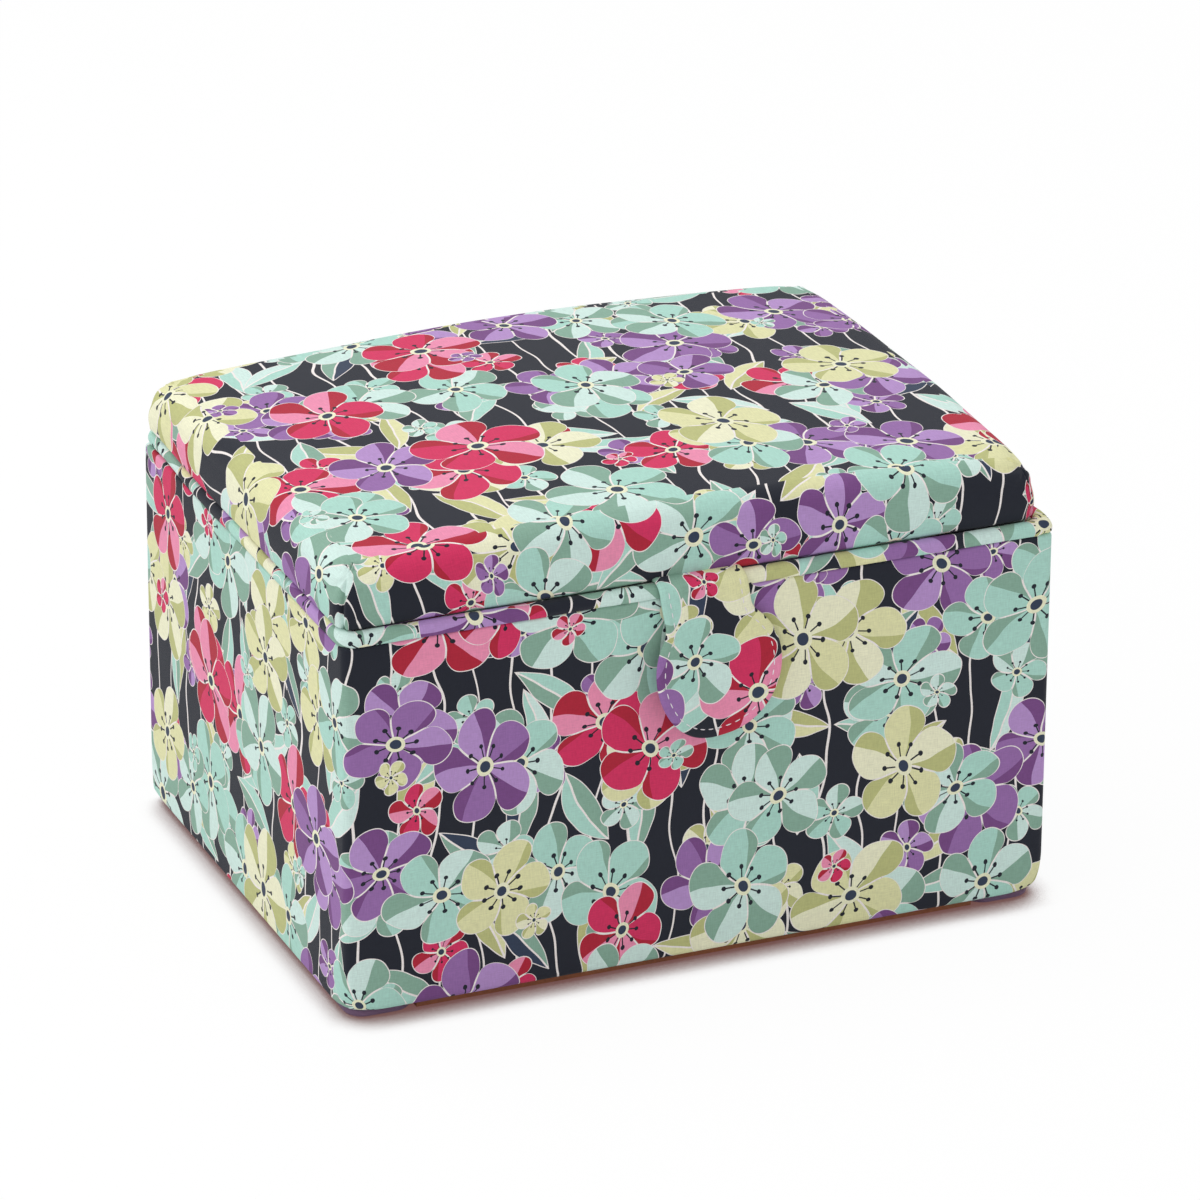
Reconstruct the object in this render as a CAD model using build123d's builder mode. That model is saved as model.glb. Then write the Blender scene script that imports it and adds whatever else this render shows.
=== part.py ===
from build123d import *
import math
import os

# A fabric-covered sewing box with a padded, hinged lid and two sliding trays.
# Millimetres, +Z up, front at -Y, origin on the floor under the middle of the box.

# Box body, from outside in
box_width = 310.0
box_depth = 232.0
body_height = 161.0
body_corner_radius = 3.0
body_base_radius = 2.5
cover_thickness = 1.0
cover_turn_under = 15.0
panel_thickness = 6.0
bottom_thickness = 4.0
lining_thickness = 2.0

# Base board and corner feet
foot_height = 3.0
foot_size = 26.0
foot_inset = 5.0
foot_corner_radius = 8.0
base_board_thickness = 2.5
base_board_inset = 3.0
foot_clearance = 0.5

# Padded lid
lid_side_height = 30.5
lid_crown = 9.5
lid_corner_radius = 4.0
lid_overhang = 4.0
lid_overhang_radius = 2.5
lid_overhang_clearance = 0.6
lid_edge_radius = 7.5
lid_board_thickness = 6.0
lid_lining_thickness = 4.0
lid_lining_clearance = 0.5
pad_clearance = 0.2

# Piping round the foot of the lid
piping_diameter = 7.0
piping_inner_radius = 1.5
piping_lift = 0.3
piping_tape_width = 8.0
piping_tape_thickness = 0.6

# Pincushion on the lid lining
cushion_length = 112.0
cushion_width = 62.0
cushion_height = 11.0
cushion_crown = 3.0
cushion_draw_in = 3.0
cushion_edge_radius = 5.0
cushion_corner_radius = 8.0
cushion_offset = 42.0

# Pull tab
tab_neck_width = 38.0
tab_head_diameter = 57.0
tab_drop = 64.0
tab_thickness = 1.8
tab_curl_radius = 600.0
tab_waist_radius = 9.0
tab_root_thickness = 0.6
tab_clearance = 0.3
tab_start_angle = 160.0
root_start_angle = 40.0
root_end_angle = 170.0

# Butt hinges
hinge_inset = 70.0
hinge_length = 38.0
leaf_thickness = 1.2
leaf_gap = 0.2
knuckle_radius = 2.2
knuckle_gap = 0.3
middle_knuckle_length = 12.4
pin_radius = 1.1
pin_clearance = 0.05
knuckle_standoff = 0.2
leaf_corner_radius = 2.0
lid_leaf_reach = 15.0
stop_reach = 5.2
stop_thickness = 1.2
lid_opening_angle = 100.0
stop_slack_angle = 18.0

# Hinge screws
screw_spacing = 24.0
screw_radius = 1.1
screw_head_radius = 2.2
screw_length = 12.0
lid_screw_length = 6.5
screw_clearance = 0.05

# Tray rails
rail_height = 8.0
upper_rail_depth = 6.0
lower_rail_depth = 12.0
rail_edge_radius = 1.0

# Trays
tray_length = 172.0
tray_height = 38.0
tray_wall = 1.6
tray_floor = 1.8
tray_lip_thickness = 1.6
tray_lip_bearing = 5.0
tray_clearance = 1.0
tray_corner_radius = 8.0
tray_pocket_radius = 6.0
tray_draft = 2.0
tray_headroom = 18.0
tray_level_gap = 8.0
upper_tray_rows = (1, 2, 3)
lower_tray_rows = (1, 2)

# Levels and half sizes that follow from them
half_width = box_width / 2
half_depth = box_depth / 2
body_bottom = foot_height
rim = body_bottom + body_height
panel_bottom = body_bottom + cover_thickness
panel_top = rim - cover_thickness
wall = cover_thickness + panel_thickness
inside_half_width = half_width - wall - lining_thickness
inside_half_depth = half_depth - wall - lining_thickness
floor_top = panel_bottom + bottom_thickness
lining_bottom = floor_top + lining_thickness

seam_gap = 2 * leaf_thickness + leaf_gap
lid_bottom = rim + seam_gap
lid_half_width = half_width - piping_diameter
lid_half_depth = half_depth - piping_diameter
board_bottom = lid_bottom + cover_thickness
board_top = board_bottom + lid_board_thickness
lid_corner_top = rim + lid_side_height
lid_lining_bottom = lid_bottom - lid_lining_thickness

piping_radius = piping_diameter / 2
piping_half_width = half_width - piping_radius
piping_half_depth = half_depth - piping_radius
piping_level = rim + piping_lift + piping_radius
piping_path_radius = piping_inner_radius + piping_radius
overhang_level = piping_level + piping_radius + lid_overhang_clearance

hinge_y = half_depth + knuckle_radius + knuckle_standoff
hinge_z = rim + leaf_thickness + leaf_gap / 2
hinge_places = {"left": hinge_inset - half_width, "right": half_width - hinge_inset}
lid_leaf_edge = lid_half_depth - lid_leaf_reach
box_screw_y = half_depth - cover_thickness - panel_thickness / 2
lid_screw_y = lid_half_depth - cover_thickness - (lid_leaf_reach - cover_thickness) / 2

upper_tray_top = rim - tray_headroom
upper_tray_bottom = upper_tray_top - tray_height
lower_tray_top = upper_tray_bottom - tray_level_gap

os.makedirs("parts", exist_ok=True)


def save(block, name):
    block.part.label = name
    export_step(block.part, f"parts/{name}.step")


def padded_block(inset, bottom, corner_top):
    """The lid's padded form drawn in by inset: a foot inside the piping, and a fuller domed top over it."""
    length = 2 * (lid_half_width - inset)
    width = 2 * (lid_half_depth - inset)
    corner = lid_corner_radius - inset
    underside = overhang_level + inset
    rise = corner_top + lid_crown - underside
    reach = math.hypot(lid_half_width + lid_overhang, lid_half_depth + lid_overhang)
    dome_radius = (reach**2 + lid_crown**2) / (2 * lid_crown)
    with BuildPart() as block:
        with BuildSketch():
            RectangleRounded(length + 2 * lid_overhang, width + 2 * lid_overhang, corner + lid_overhang)
        extrude(amount=rise)
        with Locations((0, 0, rise - dome_radius)):
            Sphere(dome_radius, mode=Mode.INTERSECT)
        fillet(block.faces().sort_by(Axis.Z)[-1].edges(), lid_edge_radius - inset)
        fillet(block.faces().sort_by(Axis.Z)[0].edges(), lid_overhang_radius - inset)
        with BuildSketch(Plane.XY.offset(bottom - underside)):
            RectangleRounded(length, width, corner)
        extrude(amount=underside + lid_overhang_radius - bottom)
    return Pos(0, 0, underside) * block.part


# Corner feet, one pad under each corner of the body
with BuildPart() as corner_feet:
    with BuildSketch():
        with GridLocations(
            box_width - 2 * foot_inset - foot_size,
            box_depth - 2 * foot_inset - foot_size,
            2,
            2,
        ):
            RectangleRounded(foot_size, foot_size, foot_corner_radius)
    extrude(amount=foot_height)
save(corner_feet, "corner_feet")

# Base board, notched at its corners for the feet
with BuildPart() as base_board:
    notch = 2 * (foot_inset + foot_size + foot_clearance)
    with BuildSketch(Plane.XY.offset(foot_height - base_board_thickness)):
        Rectangle(box_width - 2 * base_board_inset, box_depth - 2 * base_board_inset)
        with GridLocations(box_width, box_depth, 2, 2):
            Rectangle(notch, notch, mode=Mode.SUBTRACT)
    extrude(amount=base_board_thickness)
save(base_board, "base_board")

# Printed cloth wrapped round the walls, turned over the rim and under the base
with BuildPart() as body_cover:
    with BuildSketch(Plane.XY.offset(body_bottom)):
        RectangleRounded(box_width, box_depth, body_corner_radius)
    extrude(amount=body_height)
    fillet(body_cover.faces().sort_by(Axis.Z)[0].edges(), body_base_radius)
    with BuildPart(mode=Mode.SUBTRACT) as hollow:
        with BuildSketch(Plane.XY.offset(panel_bottom)):
            RectangleRounded(
                box_width - 2 * cover_thickness,
                box_depth - 2 * cover_thickness,
                body_corner_radius - cover_thickness,
            )
        extrude(amount=panel_top - panel_bottom)
        fillet(hollow.faces().sort_by(Axis.Z)[0].edges(), body_base_radius - cover_thickness)
    with BuildSketch(Plane.XY.offset(panel_top)):
        Rectangle(box_width - 2 * wall, box_depth - 2 * wall)
    extrude(amount=cover_thickness, mode=Mode.SUBTRACT)
    with BuildSketch(Plane.XY.offset(body_bottom)):
        Rectangle(box_width - 2 * cover_turn_under, box_depth - 2 * cover_turn_under)
    extrude(amount=cover_thickness, mode=Mode.SUBTRACT)
    for place in hinge_places.values():
        with Locations((place, box_screw_y, panel_top + cover_thickness / 2)):
            with GridLocations(screw_spacing, 0, 2, 1):
                Cylinder(screw_radius + screw_clearance, cover_thickness, mode=Mode.SUBTRACT)
save(body_cover, "body_cover")

# Front and back wall panels run the full width, with rounded outer corners and lower edges
for side, name in ((-1, "front_panel"), (1, "back_panel")):
    with BuildPart() as panel:
        with BuildSketch(Plane.XY.offset(panel_bottom)):
            with Locations((0, side * (half_depth - cover_thickness - panel_thickness / 2))):
                Rectangle(box_width - 2 * cover_thickness, panel_thickness)
        extrude(amount=panel_top - panel_bottom)
        outer_edges = panel.edges().filter_by(Axis.Z).group_by(Axis.Y)[0 if side < 0 else -1]
        fillet(outer_edges, body_corner_radius - cover_thickness)
        lower_edges = panel.faces().sort_by(Axis.Z)[0].edges().sort_by(Axis.Y)
        fillet(lower_edges[:-1] if side < 0 else lower_edges[1:], body_base_radius - cover_thickness)
        if side > 0:
            for place in hinge_places.values():
                with Locations((place, box_screw_y, panel_top)):
                    with GridLocations(screw_spacing, 0, 2, 1):
                        Hole(screw_radius + screw_clearance, screw_length)
    save(panel, name)

# Left and right wall panels stand between them
for side, name in ((-1, "left_panel"), (1, "right_panel")):
    with BuildPart() as panel:
        with BuildSketch(Plane.XY.offset(panel_bottom)):
            with Locations((side * (half_width - cover_thickness - panel_thickness / 2), 0)):
                Rectangle(panel_thickness, box_depth - 2 * wall)
        extrude(amount=panel_top - panel_bottom)
        lower_edges = panel.faces().sort_by(Axis.Z)[0].edges().sort_by(Axis.X)
        fillet(lower_edges[0 if side < 0 else -1], body_base_radius - cover_thickness)
    save(panel, name)

# Bottom panel and its lining, inside the walls
for name, level, thickness in (
    ("bottom_panel", panel_bottom, bottom_thickness),
    ("base_lining", floor_top, lining_thickness),
):
    with BuildPart() as sheet:
        with BuildSketch(Plane.XY.offset(level)):
            Rectangle(box_width - 2 * wall, box_depth - 2 * wall)
        extrude(amount=thickness)
    save(sheet, name)

# Lining boards, standing on the base lining
for side, name in ((-1, "front_lining"), (1, "back_lining")):
    with BuildPart() as board:
        with BuildSketch(Plane.XY.offset(lining_bottom)):
            with Locations((0, side * (half_depth - wall - lining_thickness / 2))):
                Rectangle(box_width - 2 * wall, lining_thickness)
        extrude(amount=rim - lining_bottom)
    save(board, name)
for side, name in ((-1, "left_lining"), (1, "right_lining")):
    with BuildPart() as board:
        with BuildSketch(Plane.XY.offset(lining_bottom)):
            with Locations((side * (half_width - wall - lining_thickness / 2), 0)):
                Rectangle(lining_thickness, 2 * inside_half_depth)
        extrude(amount=rim - lining_bottom)
    save(board, name)

# Tray rails, with their upper inner edges eased
for level, rail_depth, storey in (
    (upper_tray_top - tray_lip_thickness, upper_rail_depth, "upper"),
    (lower_tray_top - tray_lip_thickness, lower_rail_depth, "lower"),
):
    for side, wall_name in ((-1, "front"), (1, "back")):
        with BuildPart() as rail:
            with BuildSketch(Plane.XY.offset(level - rail_height)):
                with Locations((0, side * (inside_half_depth - rail_depth / 2))):
                    Rectangle(2 * inside_half_width, rail_depth)
            extrude(amount=rail_height)
            inner_edges = rail.edges().filter_by(Axis.X).group_by(Axis.Y)[-1 if side < 0 else 0]
            fillet(inner_edges, rail_edge_radius)
        save(rail, f"{storey}_rail_{wall_name}")


def tray(rows, rail_depth, side_gap, top, end_x):
    """A moulded tray that hangs by its lip; rows gives the pockets in each row from front to back."""
    lip_half_depth = inside_half_depth - side_gap - tray_clearance
    body_half_depth = inside_half_depth - rail_depth - tray_clearance
    lip_width = tray_lip_bearing + tray_clearance
    body_length = tray_length - 2 * lip_width
    middle_x = end_x + tray_length / 2
    pocket_depth = tray_height - tray_floor
    row_width = (2 * body_half_depth - (len(rows) + 1) * tray_wall) / len(rows)
    with BuildPart() as moulding:
        with BuildSketch(Plane.XY.offset(top)):
            with Locations((middle_x, 0)):
                RectangleRounded(body_length, 2 * body_half_depth, tray_corner_radius)
        extrude(amount=-tray_height, taper=tray_draft)
        with BuildSketch(Plane.XY.offset(top - tray_lip_thickness)):
            with Locations((middle_x, 0)):
                RectangleRounded(tray_length, 2 * lip_half_depth, tray_corner_radius + lip_width)
        extrude(amount=tray_lip_thickness)
        for row, count in enumerate(rows):
            row_y = -body_half_depth + tray_wall + row_width / 2 + row * (row_width + tray_wall)
            pocket_length = (body_length - (count + 1) * tray_wall) / count
            with BuildSketch(Plane.XY.offset(top)):
                with Locations((middle_x, row_y)):
                    with GridLocations(pocket_length + tray_wall, 0, count, 1):
                        RectangleRounded(pocket_length, row_width, tray_pocket_radius)
            extrude(amount=-pocket_depth, taper=tray_draft, mode=Mode.SUBTRACT)
    return moulding


# Upper tray at the left end of its rails, lower tray at the right end of its own
upper_tray = tray(
    upper_tray_rows,
    upper_rail_depth,
    0.0,
    upper_tray_top,
    -inside_half_width + tray_clearance,
)
save(upper_tray, "upper_tray")
lower_tray = tray(
    lower_tray_rows,
    lower_rail_depth,
    upper_rail_depth,
    lower_tray_top,
    inside_half_width - tray_clearance - tray_length,
)
save(lower_tray, "lower_tray")

# Lid board, screwed to the hinges
with BuildPart() as lid_board:
    with BuildSketch(Plane.XY.offset(board_bottom)):
        RectangleRounded(
            2 * (lid_half_width - cover_thickness),
            2 * (lid_half_depth - cover_thickness),
            lid_corner_radius - cover_thickness,
        )
    extrude(amount=lid_board_thickness)
    for place in hinge_places.values():
        with Locations((place, lid_screw_y, board_bottom + lid_board_thickness / 2)):
            with GridLocations(screw_spacing, 0, 2, 1):
                Cylinder(screw_radius + screw_clearance, lid_board_thickness, mode=Mode.SUBTRACT)
save(lid_board, "lid_board")

# Foam pad on the board, overhanging its edges
with BuildPart() as lid_pad:
    add(padded_block(cover_thickness, board_bottom, lid_corner_top - cover_thickness - pad_clearance))
    with BuildSketch(Plane.XY.offset(board_bottom)):
        RectangleRounded(
            2 * (lid_half_width - cover_thickness),
            2 * (lid_half_depth - cover_thickness),
            lid_corner_radius - cover_thickness,
        )
    extrude(amount=lid_board_thickness, mode=Mode.SUBTRACT)
save(lid_pad, "lid_pad")

# Printed cloth over the pad and round the edge of the board
with BuildPart() as lid_cover:
    add(padded_block(0.0, lid_bottom, lid_corner_top))
    add(padded_block(cover_thickness, board_bottom, lid_corner_top - cover_thickness), mode=Mode.SUBTRACT)
    with BuildSketch(Plane.XY.offset(lid_bottom)):
        Rectangle(2 * (lid_half_width - cover_turn_under), 2 * (lid_half_depth - cover_turn_under))
    extrude(amount=cover_thickness, mode=Mode.SUBTRACT)
    for place in hinge_places.values():
        with Locations((place, lid_screw_y, lid_bottom + cover_thickness / 2)):
            with GridLocations(screw_spacing, 0, 2, 1):
                Cylinder(screw_radius + screw_clearance, cover_thickness, mode=Mode.SUBTRACT)
save(lid_cover, "lid_cover")

# Piping cord with its sewing tape, relieved where the hinge leaves pass under it
with BuildPart() as lid_piping:
    with BuildLine(Plane.XY.offset(piping_level)) as piping_path:
        with BuildSketch(Plane.XY.offset(piping_level), mode=Mode.PRIVATE) as piping_plan:
            RectangleRounded(2 * piping_half_width, 2 * piping_half_depth, piping_path_radius)
        add(piping_plan.sketch.edges())
    with BuildSketch(Plane(piping_path.line @ 0, z_dir=piping_path.line % 0)):
        Circle(piping_radius)
    sweep(path=piping_path.wire())
    with BuildSketch(Plane.XY.offset(lid_bottom - piping_tape_thickness)):
        RectangleRounded(2 * piping_half_width, 2 * piping_half_depth, piping_path_radius)
        Rectangle(
            2 * (piping_half_width - piping_tape_width),
            2 * (piping_half_depth - piping_tape_width),
            mode=Mode.SUBTRACT,
        )
    extrude(amount=piping_tape_thickness)
    for place in hinge_places.values():
        with Locations((place, half_depth - piping_diameter, lid_bottom + leaf_gap)):
            Box(
                hinge_length + 2 * lid_lining_clearance,
                2 * (piping_diameter + piping_tape_width),
                2 * (seam_gap + piping_diameter),
                align=(Align.CENTER, Align.CENTER, Align.MAX),
                mode=Mode.SUBTRACT,
            )
save(lid_piping, "lid_piping")

# Padded lining board on the underside of the lid, notched for the hinge leaves
with BuildPart() as lid_lining:
    lining_half_width = piping_half_width - piping_tape_width - lid_lining_clearance
    lining_half_depth = piping_half_depth - piping_tape_width - lid_lining_clearance
    with BuildSketch(Plane.XY.offset(lid_lining_bottom)):
        Rectangle(2 * lining_half_width, 2 * lining_half_depth)
        for place in hinge_places.values():
            with Locations((place, lid_leaf_edge - lid_lining_clearance)):
                Rectangle(
                    hinge_length + 2 * lid_lining_clearance,
                    box_depth,
                    align=(Align.CENTER, Align.MIN),
                    mode=Mode.SUBTRACT,
                )
    extrude(amount=lid_lining_thickness)
    fillet(lid_lining.faces().sort_by(Axis.Z)[0].edges(), lid_lining_thickness / 4)
save(lid_lining, "lid_lining")

# Pincushion under the lid lining, its sides drawn in between the corners
with BuildPart() as pincushion:
    half_length = cushion_length / 2
    near_y = -cushion_offset - cushion_width / 2
    far_y = -cushion_offset + cushion_width / 2
    cushion_reach = math.hypot(cushion_length / 2, cushion_width / 2)
    cushion_dome = (cushion_reach**2 + cushion_crown**2) / (2 * cushion_crown)
    cushion_bottom = lid_lining_bottom - cushion_height
    with BuildSketch(Plane.XY.offset(lid_lining_bottom)) as cushion_outline:
        with BuildLine():
            ThreePointArc((-half_length, near_y), (0, near_y + cushion_draw_in), (half_length, near_y))
            ThreePointArc(
                (half_length, near_y),
                (half_length - cushion_draw_in, -cushion_offset),
                (half_length, far_y),
            )
            ThreePointArc((half_length, far_y), (0, far_y - cushion_draw_in), (-half_length, far_y))
            ThreePointArc(
                (-half_length, far_y),
                (-half_length + cushion_draw_in, -cushion_offset),
                (-half_length, near_y),
            )
        make_face()
        fillet(cushion_outline.vertices(), cushion_corner_radius)
    extrude(amount=-cushion_height)
    with Locations((0, -cushion_offset, cushion_bottom + cushion_dome)):
        Sphere(cushion_dome, mode=Mode.INTERSECT)
    fillet(pincushion.faces().sort_by(Axis.Z)[0].edges(), cushion_edge_radius)
save(pincushion, "pincushion")

# Tab root: the sewn-in end of the tab, lying over the top of the piping
piping_centre = (-piping_half_depth, piping_level)
root_radius = piping_radius + tab_root_thickness
root_wrap = root_end_angle - root_start_angle
with BuildPart() as tab_root:
    with BuildSketch(Plane.YZ):
        with BuildLine():
            inner = CenterArc(piping_centre, piping_radius, root_start_angle, root_wrap)
            outer = CenterArc(piping_centre, root_radius, root_start_angle, root_wrap)
            Line(inner @ 0, outer @ 0)
            Line(inner @ 1, outer @ 1)
        make_face()
    extrude(amount=tab_neck_width / 2, both=True)
save(tab_root, "tab_root")

# Pull tab: wraps the front of the piping, hangs with a slight outward curl, keyhole outline
tab_inner_radius = root_radius + tab_clearance
tab_outer_radius = tab_inner_radius + tab_thickness
curl_centre = (-piping_half_depth - tab_inner_radius - tab_curl_radius, piping_level)
curl_angle = math.degrees((tab_drop + tab_thickness) / tab_curl_radius)
head_level = piping_level - tab_drop + tab_head_diameter / 2
with BuildPart() as pull_tab:
    with BuildSketch(Plane.YZ):
        with BuildLine():
            wrap = 180 - tab_start_angle
            inner_wrap = CenterArc(piping_centre, tab_inner_radius, tab_start_angle, wrap)
            outer_wrap = CenterArc(piping_centre, tab_outer_radius, tab_start_angle, wrap)
            inner_curl = CenterArc(curl_centre, tab_curl_radius, 0, -curl_angle)
            outer_curl = CenterArc(curl_centre, tab_curl_radius - tab_thickness, 0, -curl_angle)
            Line(inner_wrap @ 0, outer_wrap @ 0)
            Line(inner_curl @ 1, outer_curl @ 1)
        make_face()
    extrude(amount=tab_head_diameter / 2, both=True)
    with BuildSketch(Plane.XZ) as keyhole:
        with Locations((0, head_level)):
            Circle(tab_head_diameter / 2)
            Rectangle(tab_neck_width, box_depth, align=(Align.CENTER, Align.MIN))
        waist = keyhole.vertices().filter_by_position(
            Axis.Y, head_level + tab_thickness, head_level + tab_head_diameter
        )
        fillet(waist, tab_waist_radius)
    extrude(amount=box_depth, both=True, mode=Mode.INTERSECT)
save(pull_tab, "pull_tab")

# Butt hinges: the box leaf has the outer knuckles, the lid leaf the middle one and the stop heel
clear_edge = hinge_y - knuckle_radius - knuckle_gap
end_knuckle_length = (hinge_length - middle_knuckle_length) / 2 - knuckle_gap
end_knuckle_offset = (hinge_length - end_knuckle_length) / 2
box_leaf_edge = half_depth - wall - lining_thickness
stop_angle = lid_opening_angle - 90 - stop_slack_angle


def hinge_leaf(place, inner_edge, level, knuckles, screw_y, screws_down):
    """One leaf: a plate, its knuckles on the pin's line, and countersunk screw holes."""
    face = level + leaf_thickness if screws_down else level
    with BuildPart() as leaf:
        with BuildSketch(Plane.XY.offset(level)) as outline:
            with Locations((place, clear_edge)):
                Rectangle(hinge_length, clear_edge - inner_edge, align=(Align.CENTER, Align.MAX))
            fillet(outline.vertices().group_by(Axis.Y)[0], leaf_corner_radius)
        extrude(amount=leaf_thickness)
        for offset, length in knuckles:
            with Locations((place + offset, clear_edge, level)):
                Box(
                    length,
                    hinge_y - clear_edge,
                    leaf_thickness,
                    align=(Align.CENTER, Align.MIN, Align.MIN),
                )
            with Locations((place + offset, hinge_y, hinge_z)):
                Cylinder(knuckle_radius, length, rotation=(0, 90, 0))
        if not screws_down:
            with BuildSketch(Plane.YZ.offset(place)):
                with Locations((hinge_y, hinge_z)):
                    Rectangle(
                        stop_reach,
                        stop_thickness,
                        rotation=stop_angle,
                        align=(Align.MIN, Align.CENTER),
                    )
            extrude(amount=middle_knuckle_length / 2, both=True)
        with Locations((place, hinge_y, hinge_z)):
            Cylinder(
                pin_radius + pin_clearance,
                2 * hinge_length,
                rotation=(0, 90, 0),
                mode=Mode.SUBTRACT,
            )
        with Locations(Location((place, screw_y, face), (0 if screws_down else 180, 0, 0))):
            with GridLocations(screw_spacing, 0, 2, 1):
                CounterSinkHole(
                    screw_radius + screw_clearance,
                    screw_head_radius + screw_clearance,
                    2 * leaf_thickness,
                )
    return leaf


for side, place in hinge_places.items():
    box_leaf = hinge_leaf(
        place,
        box_leaf_edge,
        rim,
        ((-end_knuckle_offset, end_knuckle_length), (end_knuckle_offset, end_knuckle_length)),
        box_screw_y,
        True,
    )
    save(box_leaf, f"box_hinge_leaf_{side}")
    lid_leaf = hinge_leaf(
        place,
        lid_leaf_edge,
        lid_bottom - leaf_thickness,
        ((0, middle_knuckle_length),),
        lid_screw_y,
        False,
    )
    save(lid_leaf, f"lid_hinge_leaf_{side}")
    with BuildPart() as hinge_pin:
        with Locations((place, hinge_y, hinge_z)):
            Cylinder(pin_radius, hinge_length, rotation=(0, 90, 0))
    save(hinge_pin, f"hinge_pin_{side}")

# Countersunk wood screws: box leaves down into the back panel, lid leaves up into the lid board
for name, screw_y, face, turn, length in (
    ("box_hinge_screws", box_screw_y, rim + leaf_thickness, 0, screw_length),
    ("lid_hinge_screws", lid_screw_y, lid_bottom - leaf_thickness, 180, lid_screw_length),
):
    with BuildPart() as screws:
        for place in hinge_places.values():
            with Locations(Location((place, screw_y, face), (turn, 0, 0))):
                with GridLocations(screw_spacing, 0, 2, 1):
                    Cone(
                        screw_radius,
                        screw_head_radius,
                        screw_head_radius - screw_radius,
                        align=(Align.CENTER, Align.CENTER, Align.MAX),
                    )
                    Cylinder(
                        screw_radius,
                        length,
                        align=(Align.CENTER, Align.CENTER, Align.MAX),
                    )
    save(screws, name)
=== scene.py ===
# %% [markdown]
# This lesson dresses a fabric-covered sewing box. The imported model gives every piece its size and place,
# so it is loaded first and nothing in it is moved. All lengths here are in metres.

# %% Load the frame
import math
import bpy
import bmesh
from mathutils import Matrix, Vector, noise


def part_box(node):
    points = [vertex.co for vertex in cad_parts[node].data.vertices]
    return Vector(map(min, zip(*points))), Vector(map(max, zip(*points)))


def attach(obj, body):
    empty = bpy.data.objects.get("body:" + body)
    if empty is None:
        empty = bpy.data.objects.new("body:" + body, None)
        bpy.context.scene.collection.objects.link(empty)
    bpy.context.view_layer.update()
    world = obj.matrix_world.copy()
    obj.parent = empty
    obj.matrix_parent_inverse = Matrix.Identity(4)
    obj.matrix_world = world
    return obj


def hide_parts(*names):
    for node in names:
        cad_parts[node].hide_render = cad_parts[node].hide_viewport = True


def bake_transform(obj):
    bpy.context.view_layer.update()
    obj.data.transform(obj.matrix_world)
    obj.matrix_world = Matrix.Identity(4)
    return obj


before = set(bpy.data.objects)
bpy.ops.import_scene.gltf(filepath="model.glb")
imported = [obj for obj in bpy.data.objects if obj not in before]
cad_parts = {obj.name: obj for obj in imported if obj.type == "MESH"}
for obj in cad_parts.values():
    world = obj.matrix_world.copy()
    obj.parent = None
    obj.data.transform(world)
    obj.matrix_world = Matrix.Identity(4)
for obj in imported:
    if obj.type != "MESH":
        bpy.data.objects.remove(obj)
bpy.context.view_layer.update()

# %% [markdown]
# The camera stands to the left of the front, about three metres off with a long lens, so the box shows
# almost no perspective. It is aimed a little above and beside the middle of the body, because the picture
# has more empty room above the box than below it.

# %% Camera
AZIMUTH = math.radians(-22.97)
ELEVATION = math.radians(24.10)
ROLL = math.radians(0.312)
DISTANCE = 3.0215
LENS = 217.3
SENSOR = 36.0
CLIP_END = 50.0
AIM_RIGHT = 0.0036
AIM_UP = 0.0271


def add_object(name, data):
    """A new object in the scene, with the mesh, lamp or lens given."""
    made = bpy.data.objects.new(name, data)
    bpy.context.scene.collection.objects.link(made)
    return made


def camera_axes(azimuth, elevation, roll):
    """The camera's right, up and back directions."""
    back = Vector(
        (
            math.sin(azimuth) * math.cos(elevation),
            -math.cos(azimuth) * math.cos(elevation),
            math.sin(elevation),
        )
    )
    level = Vector((math.cos(azimuth), math.sin(azimuth), 0))
    upright = back.cross(level)
    right = math.cos(roll) * level + math.sin(roll) * upright
    return right, back.cross(right), back


def place_camera():
    low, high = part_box("body_cover")
    middle = (low + high) / 2
    right, up, back = camera_axes(AZIMUTH, ELEVATION, ROLL)
    eye = middle + back * DISTANCE
    gaze = (eye - (middle + right * AIM_RIGHT + up * AIM_UP)).normalized()
    right = up.cross(gaze).normalized()
    up = gaze.cross(right)
    lens = bpy.data.cameras.new("camera")
    lens.lens = LENS
    lens.sensor_width = SENSOR
    lens.clip_end = CLIP_END
    camera = add_object("camera", lens)
    camera.matrix_world = Matrix.Translation(eye) @ Matrix((right, up, gaze)).transposed().to_4x4()
    bpy.context.scene.camera = camera
    return camera


print("camera at", [round(v, 3) for v in place_camera().location])

# %% [markdown]
# Materials here are trees of small nodes. A helper that adds a node and hands back its output keeps those
# trees readable: a formula in the code then looks like a formula on paper.

# %% A shorthand for shader nodes


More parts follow.
